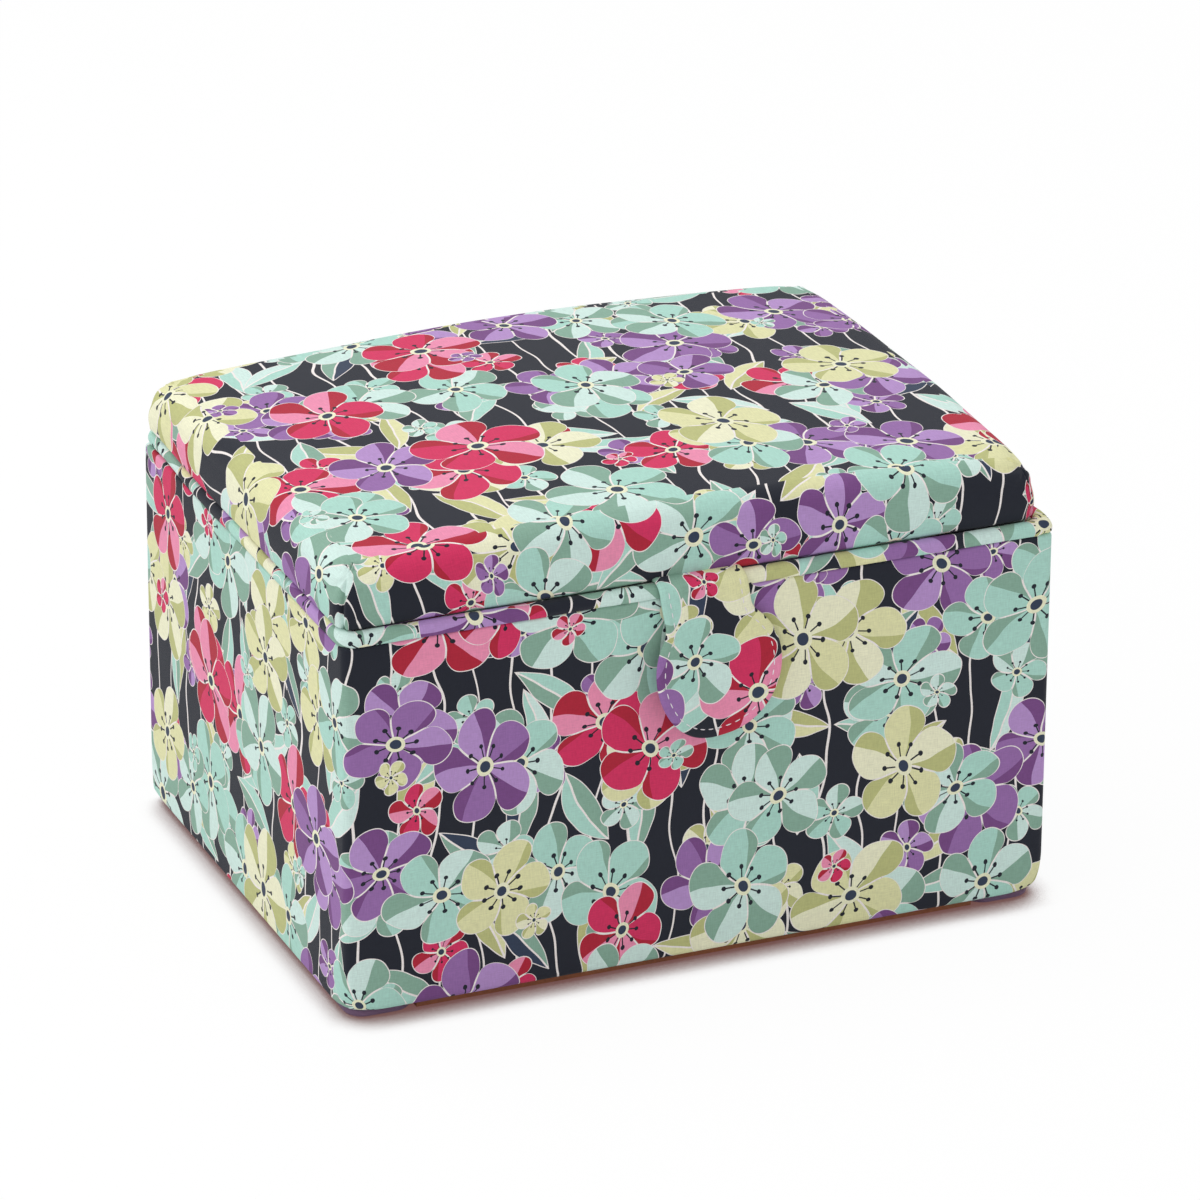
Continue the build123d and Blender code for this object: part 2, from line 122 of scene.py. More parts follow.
class Nodes:
    """Adds nodes to one tree and hands back their output sockets."""

    def __init__(self, tree):
        self.tree = tree

    def node(self, kind, inputs=(), out=0, **settings):
        made = self.tree.nodes.new("ShaderNode" + kind)
        for name, value in settings.items():
            setattr(made, name, value)
        for key, value in dict(inputs).items():
            self.feed(made.inputs[key], value)
        return made.outputs[out]

    def feed(self, socket, value):
        if isinstance(value, bpy.types.NodeSocket):
            self.tree.links.new(value, socket)
        else:
            socket.default_value = value

    def math(self, operation, *values):
        return self.node("Math", enumerate(values), operation=operation)

    def vector(self, operation, *values):
        return self.node("VectorMath", enumerate(values), operation=operation)

    def spin(self, vector, angle):
        return self.node("VectorRotate", {"Vector": vector, "Angle": angle}, rotation_type="Z_AXIS")

    def split(self, vector):
        return self.node("SeparateXYZ", {0: vector}).node.outputs

    def mix(self, share, low, high):
        return self.node("Mix", {0: share, 6: low, 7: high}, out=2, data_type="RGBA")

    def seen_directly(self):
        """One for rays from the camera or from a reflection, and nought for rays that only carry light."""
        path = self.node("LightPath").node.outputs
        mirrored = self.math("MAXIMUM", path["Is Glossy Ray"], path["Is Transmission Ray"])
        return self.math("MAXIMUM", path["Is Camera Ray"], mirrored)

    def steps(self, value, colours):
        """A colour chosen by a value from 0 to 1, in as many equal steps as there are colours."""
        ramp = self.node("ValToRGB", {0: value}).node
        ramp.color_ramp.interpolation = "CONSTANT"
        for number, colour in enumerate(colours):
            place = number / len(colours)
            stop = ramp.color_ramp.elements[0] if number == 0 else ramp.color_ramp.elements.new(place)
            stop.position = place
            stop.color = colour
        ramp.color_ramp.elements.remove(ramp.color_ramp.elements[-1])
        return ramp.outputs[0]


def new_material(name):
    """A new material and the shorthand for its nodes."""
    material = bpy.data.materials.new(name)
    material.use_nodes = True
    return material, Nodes(material.node_tree)


def ink(red, green, blue):
    """An 8-bit screen colour as the linear colour that nodes take."""
    channels = [value / 255 for value in (red, green, blue)]
    linear = [c / 12.92 if c <= 0.04045 else ((c + 0.055) / 1.055) ** 2.4 for c in channels]
    return (*linear, 1.0)


print("node helpers ready; mid grey is", round(ink(128, 128, 128)[0], 3))

# %% [markdown]
# The box stands on a white sweep under soft light. A pale floor and an even white world give each colour
# about the value it is written with, and two large lamps lift the top and the left side a little. A shadow
# catcher would need a second picture laid over the first, so the floor draws its own close shadow: it is
# darkest where the box leaves little of the sky open.

# %% Stage and light
WHITE = (1, 1, 1, 1)
FLOOR_GREY = (0.93, 0.93, 0.93, 1)
FLOOR_SIZE = 12.0
WORLD_STRENGTH = 0.72
CONTACT_REACH = 0.018
CONTACT_LEAN = (0.06, 0.50, 0.86)
CONTACT_TINT = (0.17, 0.075, 0.068, 1)
CONTACT_CLOSED = 0.30
CONTACT_OPEN = 0.80
CONTACT_SAMPLES = 8
SHADOW_SHARE = 0.06
# Each lamp: place, size and power
LAMPS = {"top_lamp": ((-0.5, 0.5, 2.2), 1.6, 20), "left_lamp": ((-2.0, -0.6, 1.3), 1.4, 9)}
LAMP_AIM = Vector((0, 0, 0.1))


def white_floor():
    """A sweep that is mostly plain white to the camera, with a close warm shadow and a faint wide one."""
    mesh = bpy.data.meshes.new("floor")
    half = FLOOR_SIZE / 2
    corners = [(-half, -half, 0), (half, -half, 0), (half, half, 0), (-half, half, 0)]
    mesh.from_pydata(corners, [], [(0, 1, 2, 3)])
    floor = add_object("floor", mesh)
    material, n = new_material("white_sweep")
    matt = n.node("BsdfDiffuse", {"Color": FLOOR_GREY})
    lean = n.node("CombineXYZ", enumerate(CONTACT_LEAN))
    reach = {"Distance": CONTACT_REACH, "Normal": lean}
    openness = n.node("AmbientOcclusion", reach, out=1, samples=CONTACT_SAMPLES)
    limits = {"Value": openness, "From Min": CONTACT_CLOSED, "From Max": CONTACT_OPEN}
    clear = n.node("MapRange", limits, interpolation_type="SMOOTHSTEP")
    shade = n.mix(clear, CONTACT_TINT, WHITE)
    plain = n.node("Emission", {"Color": shade, "Strength": 1.0})
    seen = n.node("MixShader", {0: SHADOW_SHARE, 1: plain, 2: matt})
    surface = n.node("MixShader", {0: n.seen_directly(), 1: matt, 2: seen})
    n.feed(material.node_tree.nodes["Material Output"].inputs["Surface"], surface)
    mesh.materials.append(material)


def soft_lamp(name, place, size, power):
    lamp = bpy.data.lights.new(name, "AREA")
    lamp.size = size
    lamp.energy = power
    holder = add_object(name, lamp)
    holder.location = place
    holder.rotation_euler = (LAMP_AIM - Vector(place)).to_track_quat("-Z", "Y").to_euler()


def light_stage():
    world = bpy.data.worlds.new("studio")
    world.use_nodes = True
    bpy.context.scene.world = world
    n = Nodes(world.node_tree)
    strength = n.math("MULTIPLY_ADD", n.seen_directly(), 1 - WORLD_STRENGTH, WORLD_STRENGTH)
    backdrop = world.node_tree.nodes["Background"].inputs
    n.feed(backdrop["Color"], WHITE)
    n.feed(backdrop["Strength"], strength)
    for name, (place, size, power) in LAMPS.items():
        soft_lamp(name, place, size, power)
    bpy.context.scene.view_settings.view_transform = "Standard"


white_floor()
light_stage()
print("stage ready, lamps:", list(LAMPS))

# %% [markdown]
# The cotton is printed with a dense floral. This lesson uses a stock garden floral of its own: round
# five-petal blossoms tossed at every angle over leaves, on a navy ground with fine pale outlines. A printer
# mixes few inks, so each blossom takes one family of three: a full, a pale and a deep tone.

# %% Inks of the print
NAVY = ink(24, 28, 40)
SLATE = ink(46, 58, 80)
OUTLINE = ink(236, 229, 226)
MINTS = MINT, MINT_PALE, SAGE = ink(168, 211, 198), ink(204, 228, 221), ink(132, 168, 150)
VIOLETS = ink(146, 104, 164), ink(176, 140, 196), ink(116, 70, 128)
CREAMS = CREAM, CREAM_PALE, OLIVE = ink(220, 219, 170), ink(232, 231, 200), ink(184, 186, 126)
REDS = ink(206, 44, 92), ink(230, 140, 172), ink(172, 28, 52)
# The families in equal shares of the blossoms, so a family named more often is printed more often
FAMILIES = [MINTS, VIOLETS, CREAMS, MINTS, VIOLETS, REDS, MINTS, CREAMS, VIOLETS, MINTS, REDS]
FULL_TONES, PALE_TONES, DEEP_TONES = zip(*FAMILIES)
LEAF_TONES = [SAGE, SLATE, OLIVE, SAGE, MINT]
LEAF_PALE_TONES = [MINT, SAGE, CREAM, MINT, MINT_PALE]
print("shares of mint, violet, cream and red:", [FAMILIES.count(f) for f in (MINTS, VIOLETS, CREAMS, REDS)])

# %% [markdown]
# An image would be the usual way to print cloth, but a formula stays sharp at any distance. Each layer is a
# loose grid of motifs from a Voronoi texture: the nearest point is a motif's middle, and what is inside its
# outline covers the layers below. The jitter is small enough that no motif reaches its neighbour's cell.

# %% One layer of motifs
JITTER = 0.25
SHAKE = 0.004
SHAKE_SCALE = 55.0


def motif_group(name, draw):
    """A node group for one layer: cloth place in, colour and cover out, with draw making the motif."""
    group = bpy.data.node_groups.new(name, "ShaderNodeTree")
    face = group.interface
    face.new_socket("Cloth", in_out="INPUT", socket_type="NodeSocketVector")
    for control in ("Cell", "Radius", "Turn", "Shift"):
        face.new_socket(control, in_out="INPUT", socket_type="NodeSocketFloat")
    face.new_socket("Colour", in_out="OUTPUT", socket_type="NodeSocketColor")
    face.new_socket("Cover", in_out="OUTPUT", socket_type="NodeSocketFloat")
    n = Nodes(group)
    given = group.nodes.new("NodeGroupInput").outputs
    cells = n.vector("DIVIDE", n.spin(given["Cloth"], given["Turn"]), given["Cell"])
    cells = n.vector("ADD", cells, given["Shift"])
    dots = n.node(
        "TexVoronoi",
        {"Vector": cells, "Scale": 1.0, "Randomness": JITTER},
        voronoi_dimensions="2D",
        feature="F1",
    ).node.outputs
    away = n.vector("MULTIPLY", n.vector("SUBTRACT", cells, dots["Position"]), given["Cell"])
    shake = n.node("TexNoise", {"Vector": given["Cloth"], "Scale": SHAKE_SCALE, "Detail": 1.0}, out=1)
    shake = n.vector("MULTIPLY", n.vector("SUBTRACT", shake, (0.5, 0.5, 0.5)), (SHAKE, SHAKE, 0.0))
    chance = n.node("SeparateColor", {0: dots["Color"]}).node.outputs
    angle = n.math("MULTIPLY", chance["Green"], math.tau)
    colour, cover = draw(n, n.spin(n.vector("ADD", away, shake), angle), given["Radius"], chance)
    result = group.nodes.new("NodeGroupOutput").inputs
    n.feed(result["Colour"], colour)
    n.feed(result["Cover"], cover)
    return group


print("a motif's middle is moved by up to", JITTER / 2, "of a cell")

# %% [markdown]
# A blossom is drawn in round coordinates: the angle says which petal a place is in and how far across it, and
# the distance from the middle is set against that petal's own edge. A leaf is drawn along its midrib. Stamped
# copies of one drawing would be simpler, but chance gives each petal its own length, tone and fold, so that
# no two blossoms are alike.

# %% Blossoms and leaves
OUTLINE_WIDTH = 0.00042
BLOSSOM_LEAST = 0.8
PETALS = 5
PETAL_SQUASH = 1.16
PETAL_SWIRL = 0.32
PETAL_ROUND = 0.55
PETAL_ARCH = 0.42
PETAL_WAIST = 0.5
PETAL_LEAST = 0.97
PETAL_VARIES = 0.12
FOLD_START = -0.62
FOLD_VARIES = 0.3
FOLD_SLANT = 0.5
PALE_OVER = 0.55
KEY_SPREAD = 97.0
STAMENS = 9
STAMEN_REACH = 0.33
STAMEN_WIDTH = 0.011
ANTHER_RADIUS = 0.036
EYE_RADIUS = 0.15
PUPIL_RADIUS = 0.09
LEAF_BOW = 0.12
LEAF_SLIM = 0.26
LEAF_VARIES = 0.16


def draw_heart(n, colour, angle, distance, reach, radius):
    """Lays fine stamens and a ringed eye over the middle of a blossom."""
    r = n.math("DIVIDE", distance, reach)
    spoke = n.math("FRACT", n.math("MULTIPLY_ADD", angle, STAMENS / math.tau, STAMENS))
    spoke = n.math("ABSOLUTE", n.math("SUBTRACT", spoke, 0.5))
    spoke = n.math("MULTIPLY", spoke, n.math("MULTIPLY", distance, math.tau / STAMENS))
    tip = n.math("MULTIPLY", n.math("SUBTRACT", r, STAMEN_REACH), reach)
    tip = n.math("SQRT", n.math("MULTIPLY_ADD", tip, tip, n.math("MULTIPLY", spoke, spoke)))
    anther = n.math("LESS_THAN", tip, n.math("MULTIPLY", radius, ANTHER_RADIUS))
    thread = n.math("LESS_THAN", spoke, n.math("MULTIPLY", radius, STAMEN_WIDTH))
    thread = n.math("MULTIPLY", thread, n.math("LESS_THAN", r, STAMEN_REACH))
    colour = n.mix(n.math("MAXIMUM", thread, anther), colour, NAVY)
    colour = n.mix(n.math("LESS_THAN", r, EYE_RADIUS), colour, CREAM_PALE)
    return n.mix(n.math("LESS_THAN", r, PUPIL_RADIUS), colour, SLATE)


def draw_blossom(n, place, radius, chance):
    """Five rounded petals with a swirl, each with a deep side and a fine outline, round a heart."""
    x, y, _ = n.split(place)
    y = n.math("MULTIPLY", y, PETAL_SQUASH)
    size = n.math("MULTIPLY_ADD", chance["Blue"], 1 - BLOSSOM_LEAST, BLOSSOM_LEAST)
    reach = n.math("MULTIPLY", radius, size)
    distance = n.math("SQRT", n.math("MULTIPLY_ADD", x, x, n.math("MULTIPLY", y, y)))
    r = n.math("DIVIDE", distance, reach)
    angle = n.math("ARCTAN2", y, x)
    swirl = n.math("MULTIPLY_ADD", r, PETAL_SWIRL, 2 * PETALS)
    turns = n.math("MULTIPLY_ADD", angle, PETALS / math.tau, swirl)
    across = n.math("SUBTRACT", n.math("FRACT", turns), 0.5)
    petal = n.math("MODULO", n.math("FLOOR", turns), PETALS)
    key = n.node("CombineXYZ", {0: petal, 1: n.math("MULTIPLY", chance["Red"], KEY_SPREAD)})
    luck = n.node("TexWhiteNoise", {"Vector": key}, noise_dimensions="2D")
    arch = n.math("POWER", n.math("COSINE", n.math("MULTIPLY", across, math.pi)), PETAL_ROUND)
    edge = n.math("MULTIPLY_ADD", arch, PETAL_ARCH, PETAL_WAIST)
    edge = n.math("MULTIPLY", edge, n.math("MULTIPLY_ADD", luck, PETAL_VARIES, PETAL_LEAST))
    cover = n.math("LESS_THAN", r, edge)
    from_edge = n.math("MULTIPLY", n.math("SUBTRACT", edge, r), reach)
    from_split = n.math("SUBTRACT", 0.5, n.math("ABSOLUTE", across))
    from_split = n.math("MULTIPLY", from_split, n.math("MULTIPLY", distance, math.tau / PETALS))
    line = n.math("LESS_THAN", n.math("MINIMUM", from_edge, from_split), OUTLINE_WIDTH)
    fold = n.math("MULTIPLY_ADD", r, FOLD_SLANT, n.math("MULTIPLY_ADD", luck, FOLD_VARIES, FOLD_START))
    deep_side = n.math("LESS_THAN", across, fold)
    full, pale, deep = (n.steps(chance["Red"], tones) for tones in (FULL_TONES, PALE_TONES, DEEP_TONES))
    colour = n.mix(n.math("GREATER_THAN", luck, PALE_OVER), full, pale)
    colour = n.mix(line, n.mix(deep_side, colour, deep), OUTLINE)
    return draw_heart(n, colour, angle, distance, reach, radius), cover


def draw_leaf(n, place, radius, chance):
    """A pointed leaf, paler on one side of its midrib, with a fine pale outline."""
    x, y, _ = n.split(place)
    share = n.math("DIVIDE", x, radius)
    bow = n.math("MULTIPLY", n.math("MULTIPLY", share, share), n.math("MULTIPLY", radius, LEAF_BOW))
    y = n.math("ADD", y, bow)
    taper = n.math("SUBTRACT", 1.0, n.math("MULTIPLY", share, share))
    slim = n.math("MULTIPLY_ADD", chance["Blue"], LEAF_VARIES, LEAF_SLIM)
    width = n.math("MULTIPLY", n.math("MULTIPLY", taper, radius), slim)
    from_edge = n.math("SUBTRACT", width, n.math("ABSOLUTE", y))
    cover = n.math("GREATER_THAN", from_edge, 0.0)
    line = n.math("LESS_THAN", n.math("MINIMUM", from_edge, n.math("ABSOLUTE", y)), OUTLINE_WIDTH)
    full, pale = (n.steps(chance["Red"], tones) for tones in (LEAF_TONES, LEAF_PALE_TONES))
    colour = n.mix(n.math("GREATER_THAN", y, 0.0), full, pale)
    return n.mix(line, colour, OUTLINE), cover


blossom_layer = motif_group("blossom_layer", draw_blossom)
leaf_layer = motif_group("leaf_layer", draw_leaf)
print("motif nodes:", len(blossom_layer.nodes), len(leaf_layer.nodes))

# %% [markdown]
# The cloth itself is a plain-weave cotton. Each printed piece carries a map named cloth, in metres of flat
# cloth, so the print and the weave keep their real size wherever the cloth goes. The weave is two crossed
# waves in the bump and a fine speckle in the colour, as short fibres give.

# %% Printed cotton
THREAD_PITCH = 0.00055
STREAK_ACROSS = 2100.0
STREAK_ALONG = 260.0
SPECKLE = 0.3
STEM_SPACING = 0.017
STEM_DRIFT = 0.02
STEM_DRIFT_SCALE = 22.0
STEM_WIDTH = 0.028
# Each layer: group, cell, motif radius, turn of its grid and shift, from the ground up
PRINT_LAYERS = (
    (leaf_layer, 0.050, 0.021, 0.35, 3.1),
    (leaf_layer, 0.047, 0.019, 1.25, 7.7),
    (blossom_layer, 0.041, 0.0155, 0.62, 1.3),
    (blossom_layer, 0.072, 0.0288, 0.22, 5.9),
    (blossom_layer, 0.076, 0.0304, 1.02, 9.2),
    (blossom_layer, 0.070, 0.0280, 1.83, 12.4),
    (blossom_layer, 0.078, 0.0312, 2.51, 21.3),
    (blossom_layer, 0.086, 0.0095, 0.81, 17.8),
)


def weave_height(n, cloth):
    u, v, _ = n.split(cloth)
    over = n.math("SINE", n.math("MULTIPLY", u, math.tau / THREAD_PITCH))
    under = n.math("SINE", n.math("MULTIPLY", v, math.tau / THREAD_PITCH))
    return n.math("MULTIPLY", over, under)


def speckled(n, cloth, colour):
    """The colour with the uneven threads of a plain weave: fine streaks along both directions."""
    warp, weft = (
        n.node("TexNoise", {"Vector": n.vector("MULTIPLY", cloth, (a, b, a)), "Scale": 1.0})
        for a, b in ((STREAK_ACROSS, STREAK_ALONG), (STREAK_ALONG, STREAK_ACROSS))
    )
    shade = n.math("MULTIPLY_ADD", n.math("ADD", warp, weft), SPECKLE, 1.0 - SPECKLE)
    return n.node("Mix", {0: 1.0, 6: colour, 7: shade}, out=2, data_type="RGBA", blend_type="MULTIPLY")


def cotton_surface(material, n, cloth, colour, roughness, sheen):
    """A matt woven surface in the given colour, with its threads laid by the places on the cloth."""
    surface = material.node_tree.nodes["Principled BSDF"].inputs
    n.feed(surface["Base Color"], speckled(n, cloth, colour))
    n.feed(surface["Roughness"], roughness)
    n.feed(surface["Specular IOR Level"], 0.25)
    n.feed(surface["Sheen Weight"], sheen)
    n.feed(surface["Sheen Roughness"], 0.6)
    weave = {"Height": weave_height(n, cloth), "Strength": 0.35, "Distance": 0.00012}
    n.feed(surface["Normal"], n.node("Bump", weave))


def printed_cotton():
    material, n = new_material("printed_cotton")
    cloth = n.node("UVMap", uv_map="cloth")
    drift = n.node("TexNoise", {"Vector": cloth, "Scale": STEM_DRIFT_SCALE, "Detail": 1.0})
    u, _, _ = n.split(cloth)
    stem = n.math("FRACT", n.math("DIVIDE", n.math("MULTIPLY_ADD", drift, STEM_DRIFT, u), STEM_SPACING))
    stem = n.math("ABSOLUTE", n.math("SUBTRACT", stem, 0.5))
    colour = n.mix(n.math("LESS_THAN", stem, STEM_WIDTH), NAVY, OUTLINE)
    for layer, *settings in PRINT_LAYERS:
        made = n.node("Group", node_tree=layer).node
        for control, value in zip(("Cloth", "Cell", "Radius", "Turn", "Shift"), (cloth, *settings)):
            n.feed(made.inputs[control], value)
        colour = n.mix(made.outputs["Cover"], colour, made.outputs["Colour"])
    cotton_surface(material, n, cloth, colour, roughness=0.82, sheen=0.06)
    return material


PRINTED = printed_cotton()
print("printed cotton nodes:", len(PRINTED.node_tree.nodes))

# %% [markdown]
# Every sheet of cloth below is a grid of points with a cloth map. Rows and columns may close on
# themselves: a tube closes one way, a thin wrap with two faces closes both ways. Blender could also unwrap a
# ready shape, but a grid made row by row keeps the print straight along the cloth and true to size.

# %% Cloth grids


def give_material(mesh, material):
    """Gives a mesh one material, in place of any that it has."""
    mesh.materials.clear()
    mesh.materials.append(material)


def dress(mesh, material):
    """Gives a mesh one material and smooth shading."""
    give_material(mesh, material)
    mesh.polygons.foreach_set("use_smooth", [True] * len(mesh.polygons))


def add_piece(name, mesh, material, body):
    """A dressed piece that rides on a body, or on none yet."""
    piece = add_object(name, mesh)
    dress(mesh, material)
    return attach(piece, body) if body else piece


def grid_faces(bm, uv, points, maps, close_rows=False, close_columns=False):
    """Adds a grid of points to a bmesh; maps has one more row or column than points where it closes."""
    rows, columns = len(points), len(points[0])
    verts = [[bm.verts.new(p) for p in row] for row in points]
    for i in range(rows if close_rows else rows - 1):
        for j in range(columns if close_columns else columns - 1):
            corners = ((i, j), (i, j + 1), (i + 1, j + 1), (i + 1, j))
            face = bm.faces.new([verts[a % rows][b % columns] for a, b in corners])
            for loop, (a, b) in zip(face.loops, corners):
                loop[uv].uv = maps[a][b]


def finish_mesh(name, bm, weld=1e-6):
    """Turns a bmesh into a clean mesh: points closer than weld are joined and the faces turned outwards."""
    bmesh.ops.remove_doubles(bm, verts=bm.verts, dist=weld)
    bmesh.ops.dissolve_degenerate(bm, edges=bm.edges, dist=weld)
    bmesh.ops.recalc_face_normals(bm, faces=bm.faces)
    if bm.calc_volume(signed=True) < 0:
        bmesh.ops.reverse_faces(bm, faces=bm.faces)
    mesh = bpy.data.meshes.new(name)
    bm.to_mesh(mesh)
    bm.free()
    return mesh


def cloth_bmesh():
    """An empty bmesh and its cloth map."""
    bm = bmesh.new()
    return bm, bm.loops.layers.uv.new("cloth")


def rounded_ring(half_x, half_y, radius, side_steps, corner_steps):
    """Points round a rounded rectangle, anticlockwise from the middle of the back, as (x, y) pairs."""
    nx, ny = side_steps
    ax, ay = half_x - radius, half_y - radius
    ring = []

    def side(start, end, steps):
        for k in range(steps):
            t = k / steps
            ring.append((start[0] + (end[0] - start[0]) * t, start[1] + (end[1] - start[1]) * t))

    def corner(cx, cy, angle):
        for k in range(corner_steps):
            a = angle + math.pi / 2 * k / corner_steps
            ring.append((cx + radius * math.cos(a), cy + radius * math.sin(a)))

    side((0, half_y), (-ax, half_y), nx // 2)
    corner(-ax, ay, math.pi / 2)
    side((-half_x, ay), (-half_x, -ay), ny)
    corner(-ax, -ay, math.pi)
    side((-ax, -half_y), (ax, -half_y), nx)
    corner(ax, -ay, 1.5 * math.pi)
    side((half_x, -ay), (half_x, ay), ny)
    corner(ax, ay, 0)
    side((ax, half_y), (0, half_y), nx // 2)
    return ring


def running_length(ring):
    """Distance along a closed ring to each point, with the full length at the end."""
    total, places = 0.0, [0.0]
    for a, b in zip(ring, ring[1:] + ring[:1]):
        total += math.dist(a, b)
        places.append(total)
    return places


def ease_in(value):
    """A smooth start and stop between 0 and 1."""
    value = min(max(value, 0.0), 1.0)
    return value * value * (3 - 2 * value)


def soft_noise(x, y, z, scale, seed):
    """A smooth value about from -1 to 1 that depends only on the place."""
    return noise.noise(Vector((x / scale + seed, y / scale - seed, z / scale + 2 * seed)))


def uneven_cloth(place, layers):
    """Soft noises added up at a place, each layer with its own scale, seed and weight."""
    return sum(weight * soft_noise(*place, scale, seed) for scale, seed, weight in layers)


print("cloth helpers ready")

# %% [markdown]
# Two pieces of this box, the wall cover and the piping, have one section all the way round. Sweeping a curve
# along a path would pinch them at the corners, so a section is carried round rings of a rounded rectangle,
# each ring drawn in by the section's own depth.

# %% Sections carried round the box
LEAST_CORNER = 0.0004


def bend(middle, radius, start, end, steps):
    """Points on an arc in a section, angles in degrees, as (inset, height) pairs."""
    angles = [math.radians(start + (end - start) * k / steps) for k in range(steps + 1)]
    return [(middle[0] + radius * math.cos(a), middle[1] + radius * math.sin(a)) for a in angles]


def spaced(start, end, longest):
    """Points from start up to end, without end itself, no further apart than longest."""
    steps = max(1, math.ceil(math.dist(start, end) / longest))
    return [tuple(a + (b - a) * k / steps for a, b in zip(start, end)) for k in range(steps)]


def carry_round(name, half, radius, section, sides, corners, material, body, ease=None):
    """A closed section of (inset, height) pairs carried round a rounded rectangle as a cloth piece."""
    outer = rounded_ring(*half, radius, sides, corners)
    along = running_length(outer)
    up = running_length(section)
    points = []
    for inset, height in section:
        corner = max(radius - inset, LEAST_CORNER)
        ring = rounded_ring(half[0] - inset, half[1] - inset, corner, sides, corners)
        points.append([Vector((x, y, height)) for x, y in ring])
    bm, uv = cloth_bmesh()
    maps = [[(u, v) for u in along] for v in up]
    grid_faces(bm, uv, points, maps, close_rows=True, close_columns=True)
    if ease:
        bm.normal_update()
        moves = [(vert, vert.normal * ease(vert.co)) for vert in bm.verts]
        for vert, move in moves:
            vert.co += move
    return add_piece(name, finish_mesh(name, bm), material, body)


print("a quarter bend in 4 steps:", [round(x, 2) for x, _ in bend((0, 0), 1, 0, 90, 4)])

# %% [markdown]
# The walls are wrapped in one strip of the print. It is turned under the base and over the rim, so its
# section is a long thin loop. A strip drawn tight over board still swells a hair between its edges and is
# never quite even, which is what keeps the flat walls from looking like plastic. At the lower corners the
# folds under the base round it off, most at the front. A simulation would only find this tight form again.

# %% Wall cover
COVER_THICKNESS = 0.0009
COVER_TURN_UNDER = 0.015
COVER_RIM_TURN = 0.0069
BASE_ROLL = 0.0025
RIM_ROLL = 0.0015
WALL_CORNER = 0.003
WALL_SWELL = 0.00045
WALL_UNEVEN = 0.00022
WALL_UNEVEN_LAYERS = ((0.045, 3.0, 1.0), (0.018, 8.0, 0.5))
WALL_EDGE_REACH = 0.02
FACE_DEPTH = 0.0006
WALL_SIDES = (120, 88)
WALL_CORNER_STEPS = 6
# Longest steps in the section: under the base, near the tucked corners, up the wall and inside
UNDER_STEP, TUCK_STEP, WALL_STEP, INSIDE_STEP = 0.004, 0.0025, 0.008, 0.02
BASE_BEND_STEPS, RIM_BEND_STEPS, INSIDE_BEND_STEPS = 6, 5, 4
WALLS = [side + "_panel" for side in ("front", "back", "left", "right")]
CORNER_TUCK = 0.0042
BACK_TUCK = 0.0012
TUCK_REACH = 0.020


def wall_section(low, high):
    """The wrap's loop: under the base, up the outside, over the rim and back along its own inside face."""
    t = COVER_THICKNESS
    outside = spaced((COVER_TURN_UNDER, low), (BASE_ROLL, low), UNDER_STEP)
    outside += bend((BASE_ROLL, low + BASE_ROLL), BASE_ROLL, 270, 180, BASE_BEND_STEPS)[:-1]
    outside += spaced((0, low + BASE_ROLL), (0, low + TUCK_REACH), TUCK_STEP)
    outside += spaced((0, low + TUCK_REACH), (0, high - RIM_ROLL), WALL_STEP)
    outside += bend((RIM_ROLL, high - RIM_ROLL), RIM_ROLL, 180, 90, RIM_BEND_STEPS)
    outside += [(COVER_RIM_TURN, high)]
    inside = [(COVER_RIM_TURN, high - t)]
    inside += bend((RIM_ROLL, high - RIM_ROLL), RIM_ROLL - t, 90, 180, INSIDE_BEND_STEPS)
    inside += spaced((t, high - RIM_ROLL - t), (t, low + BASE_ROLL + t), INSIDE_STEP)
    inside += bend((BASE_ROLL, low + BASE_ROLL), BASE_ROLL - t, 180, 270, INSIDE_BEND_STEPS)
    inside += [(COVER_TURN_UNDER, low + t)]
    return outside + inside


def wall_ease(low, high):
    """How far the wrap stands off the boards: fullest in the middle of a wall, nothing at its edges."""
    half_x, half_y = high.x, high.y

    def ease(place):
        nearest = min(place.z - low.z, high.z - place.z)
        if abs(place.x) > half_x - FACE_DEPTH:
            nearest = min(nearest, half_y - abs(place.y))
        elif abs(place.y) > half_y - FACE_DEPTH:
            nearest = min(nearest, half_x - abs(place.x))
        else:
            return 0.0
        swell = 1 - math.exp(-max(nearest, 0) / WALL_EDGE_REACH)
        return swell * (WALL_SWELL + WALL_UNEVEN * uneven_cloth(place, WALL_UNEVEN_LAYERS))

    return ease


def corner_tuck(place, low, high):
    """How far a lower corner is drawn in, where the spare cloth is folded under the base."""
    gaps = high.x - abs(place.x) + high.y - abs(place.y) + place.z - low.z
    share = max(0.0, 1 - gaps / TUCK_REACH)
    inward = Vector((math.copysign(1, -place.x), math.copysign(1, -place.y), 1)).normalized()
    return inward * (BACK_TUCK if place.y > 0 else CORNER_TUCK) * share**2


def wall_cover():
    low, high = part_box("body_cover")
    section = wall_section(low.z, high.z)
    plan = (high.x, high.y), WALL_CORNER, section, WALL_SIDES, WALL_CORNER_STEPS
    cover = carry_round("wall_cover", *plan, PRINTED, "box", wall_ease(low, high))
    for vert in cover.data.vertices:
        vert.co += corner_tuck(vert.co, low, high)
    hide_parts("body_cover")
    return cover


print("wall cover:", len(wall_cover().data.polygons), "faces")

# %% [markdown]
# The lid is foam on a board with the print pulled down over it. Its top is a shallow dome, its edges and
# corners turn over softly, and at each corner the spare cloth is taken up in one dart that runs down to the
# piping. The dart is a fine groove with small puckers where it starts. Away from the hinges the soft edge has
# settled a little. Simulated cloth would lose the dart, so the form is a formula for how far the cloth
# stands off a plain padded block.

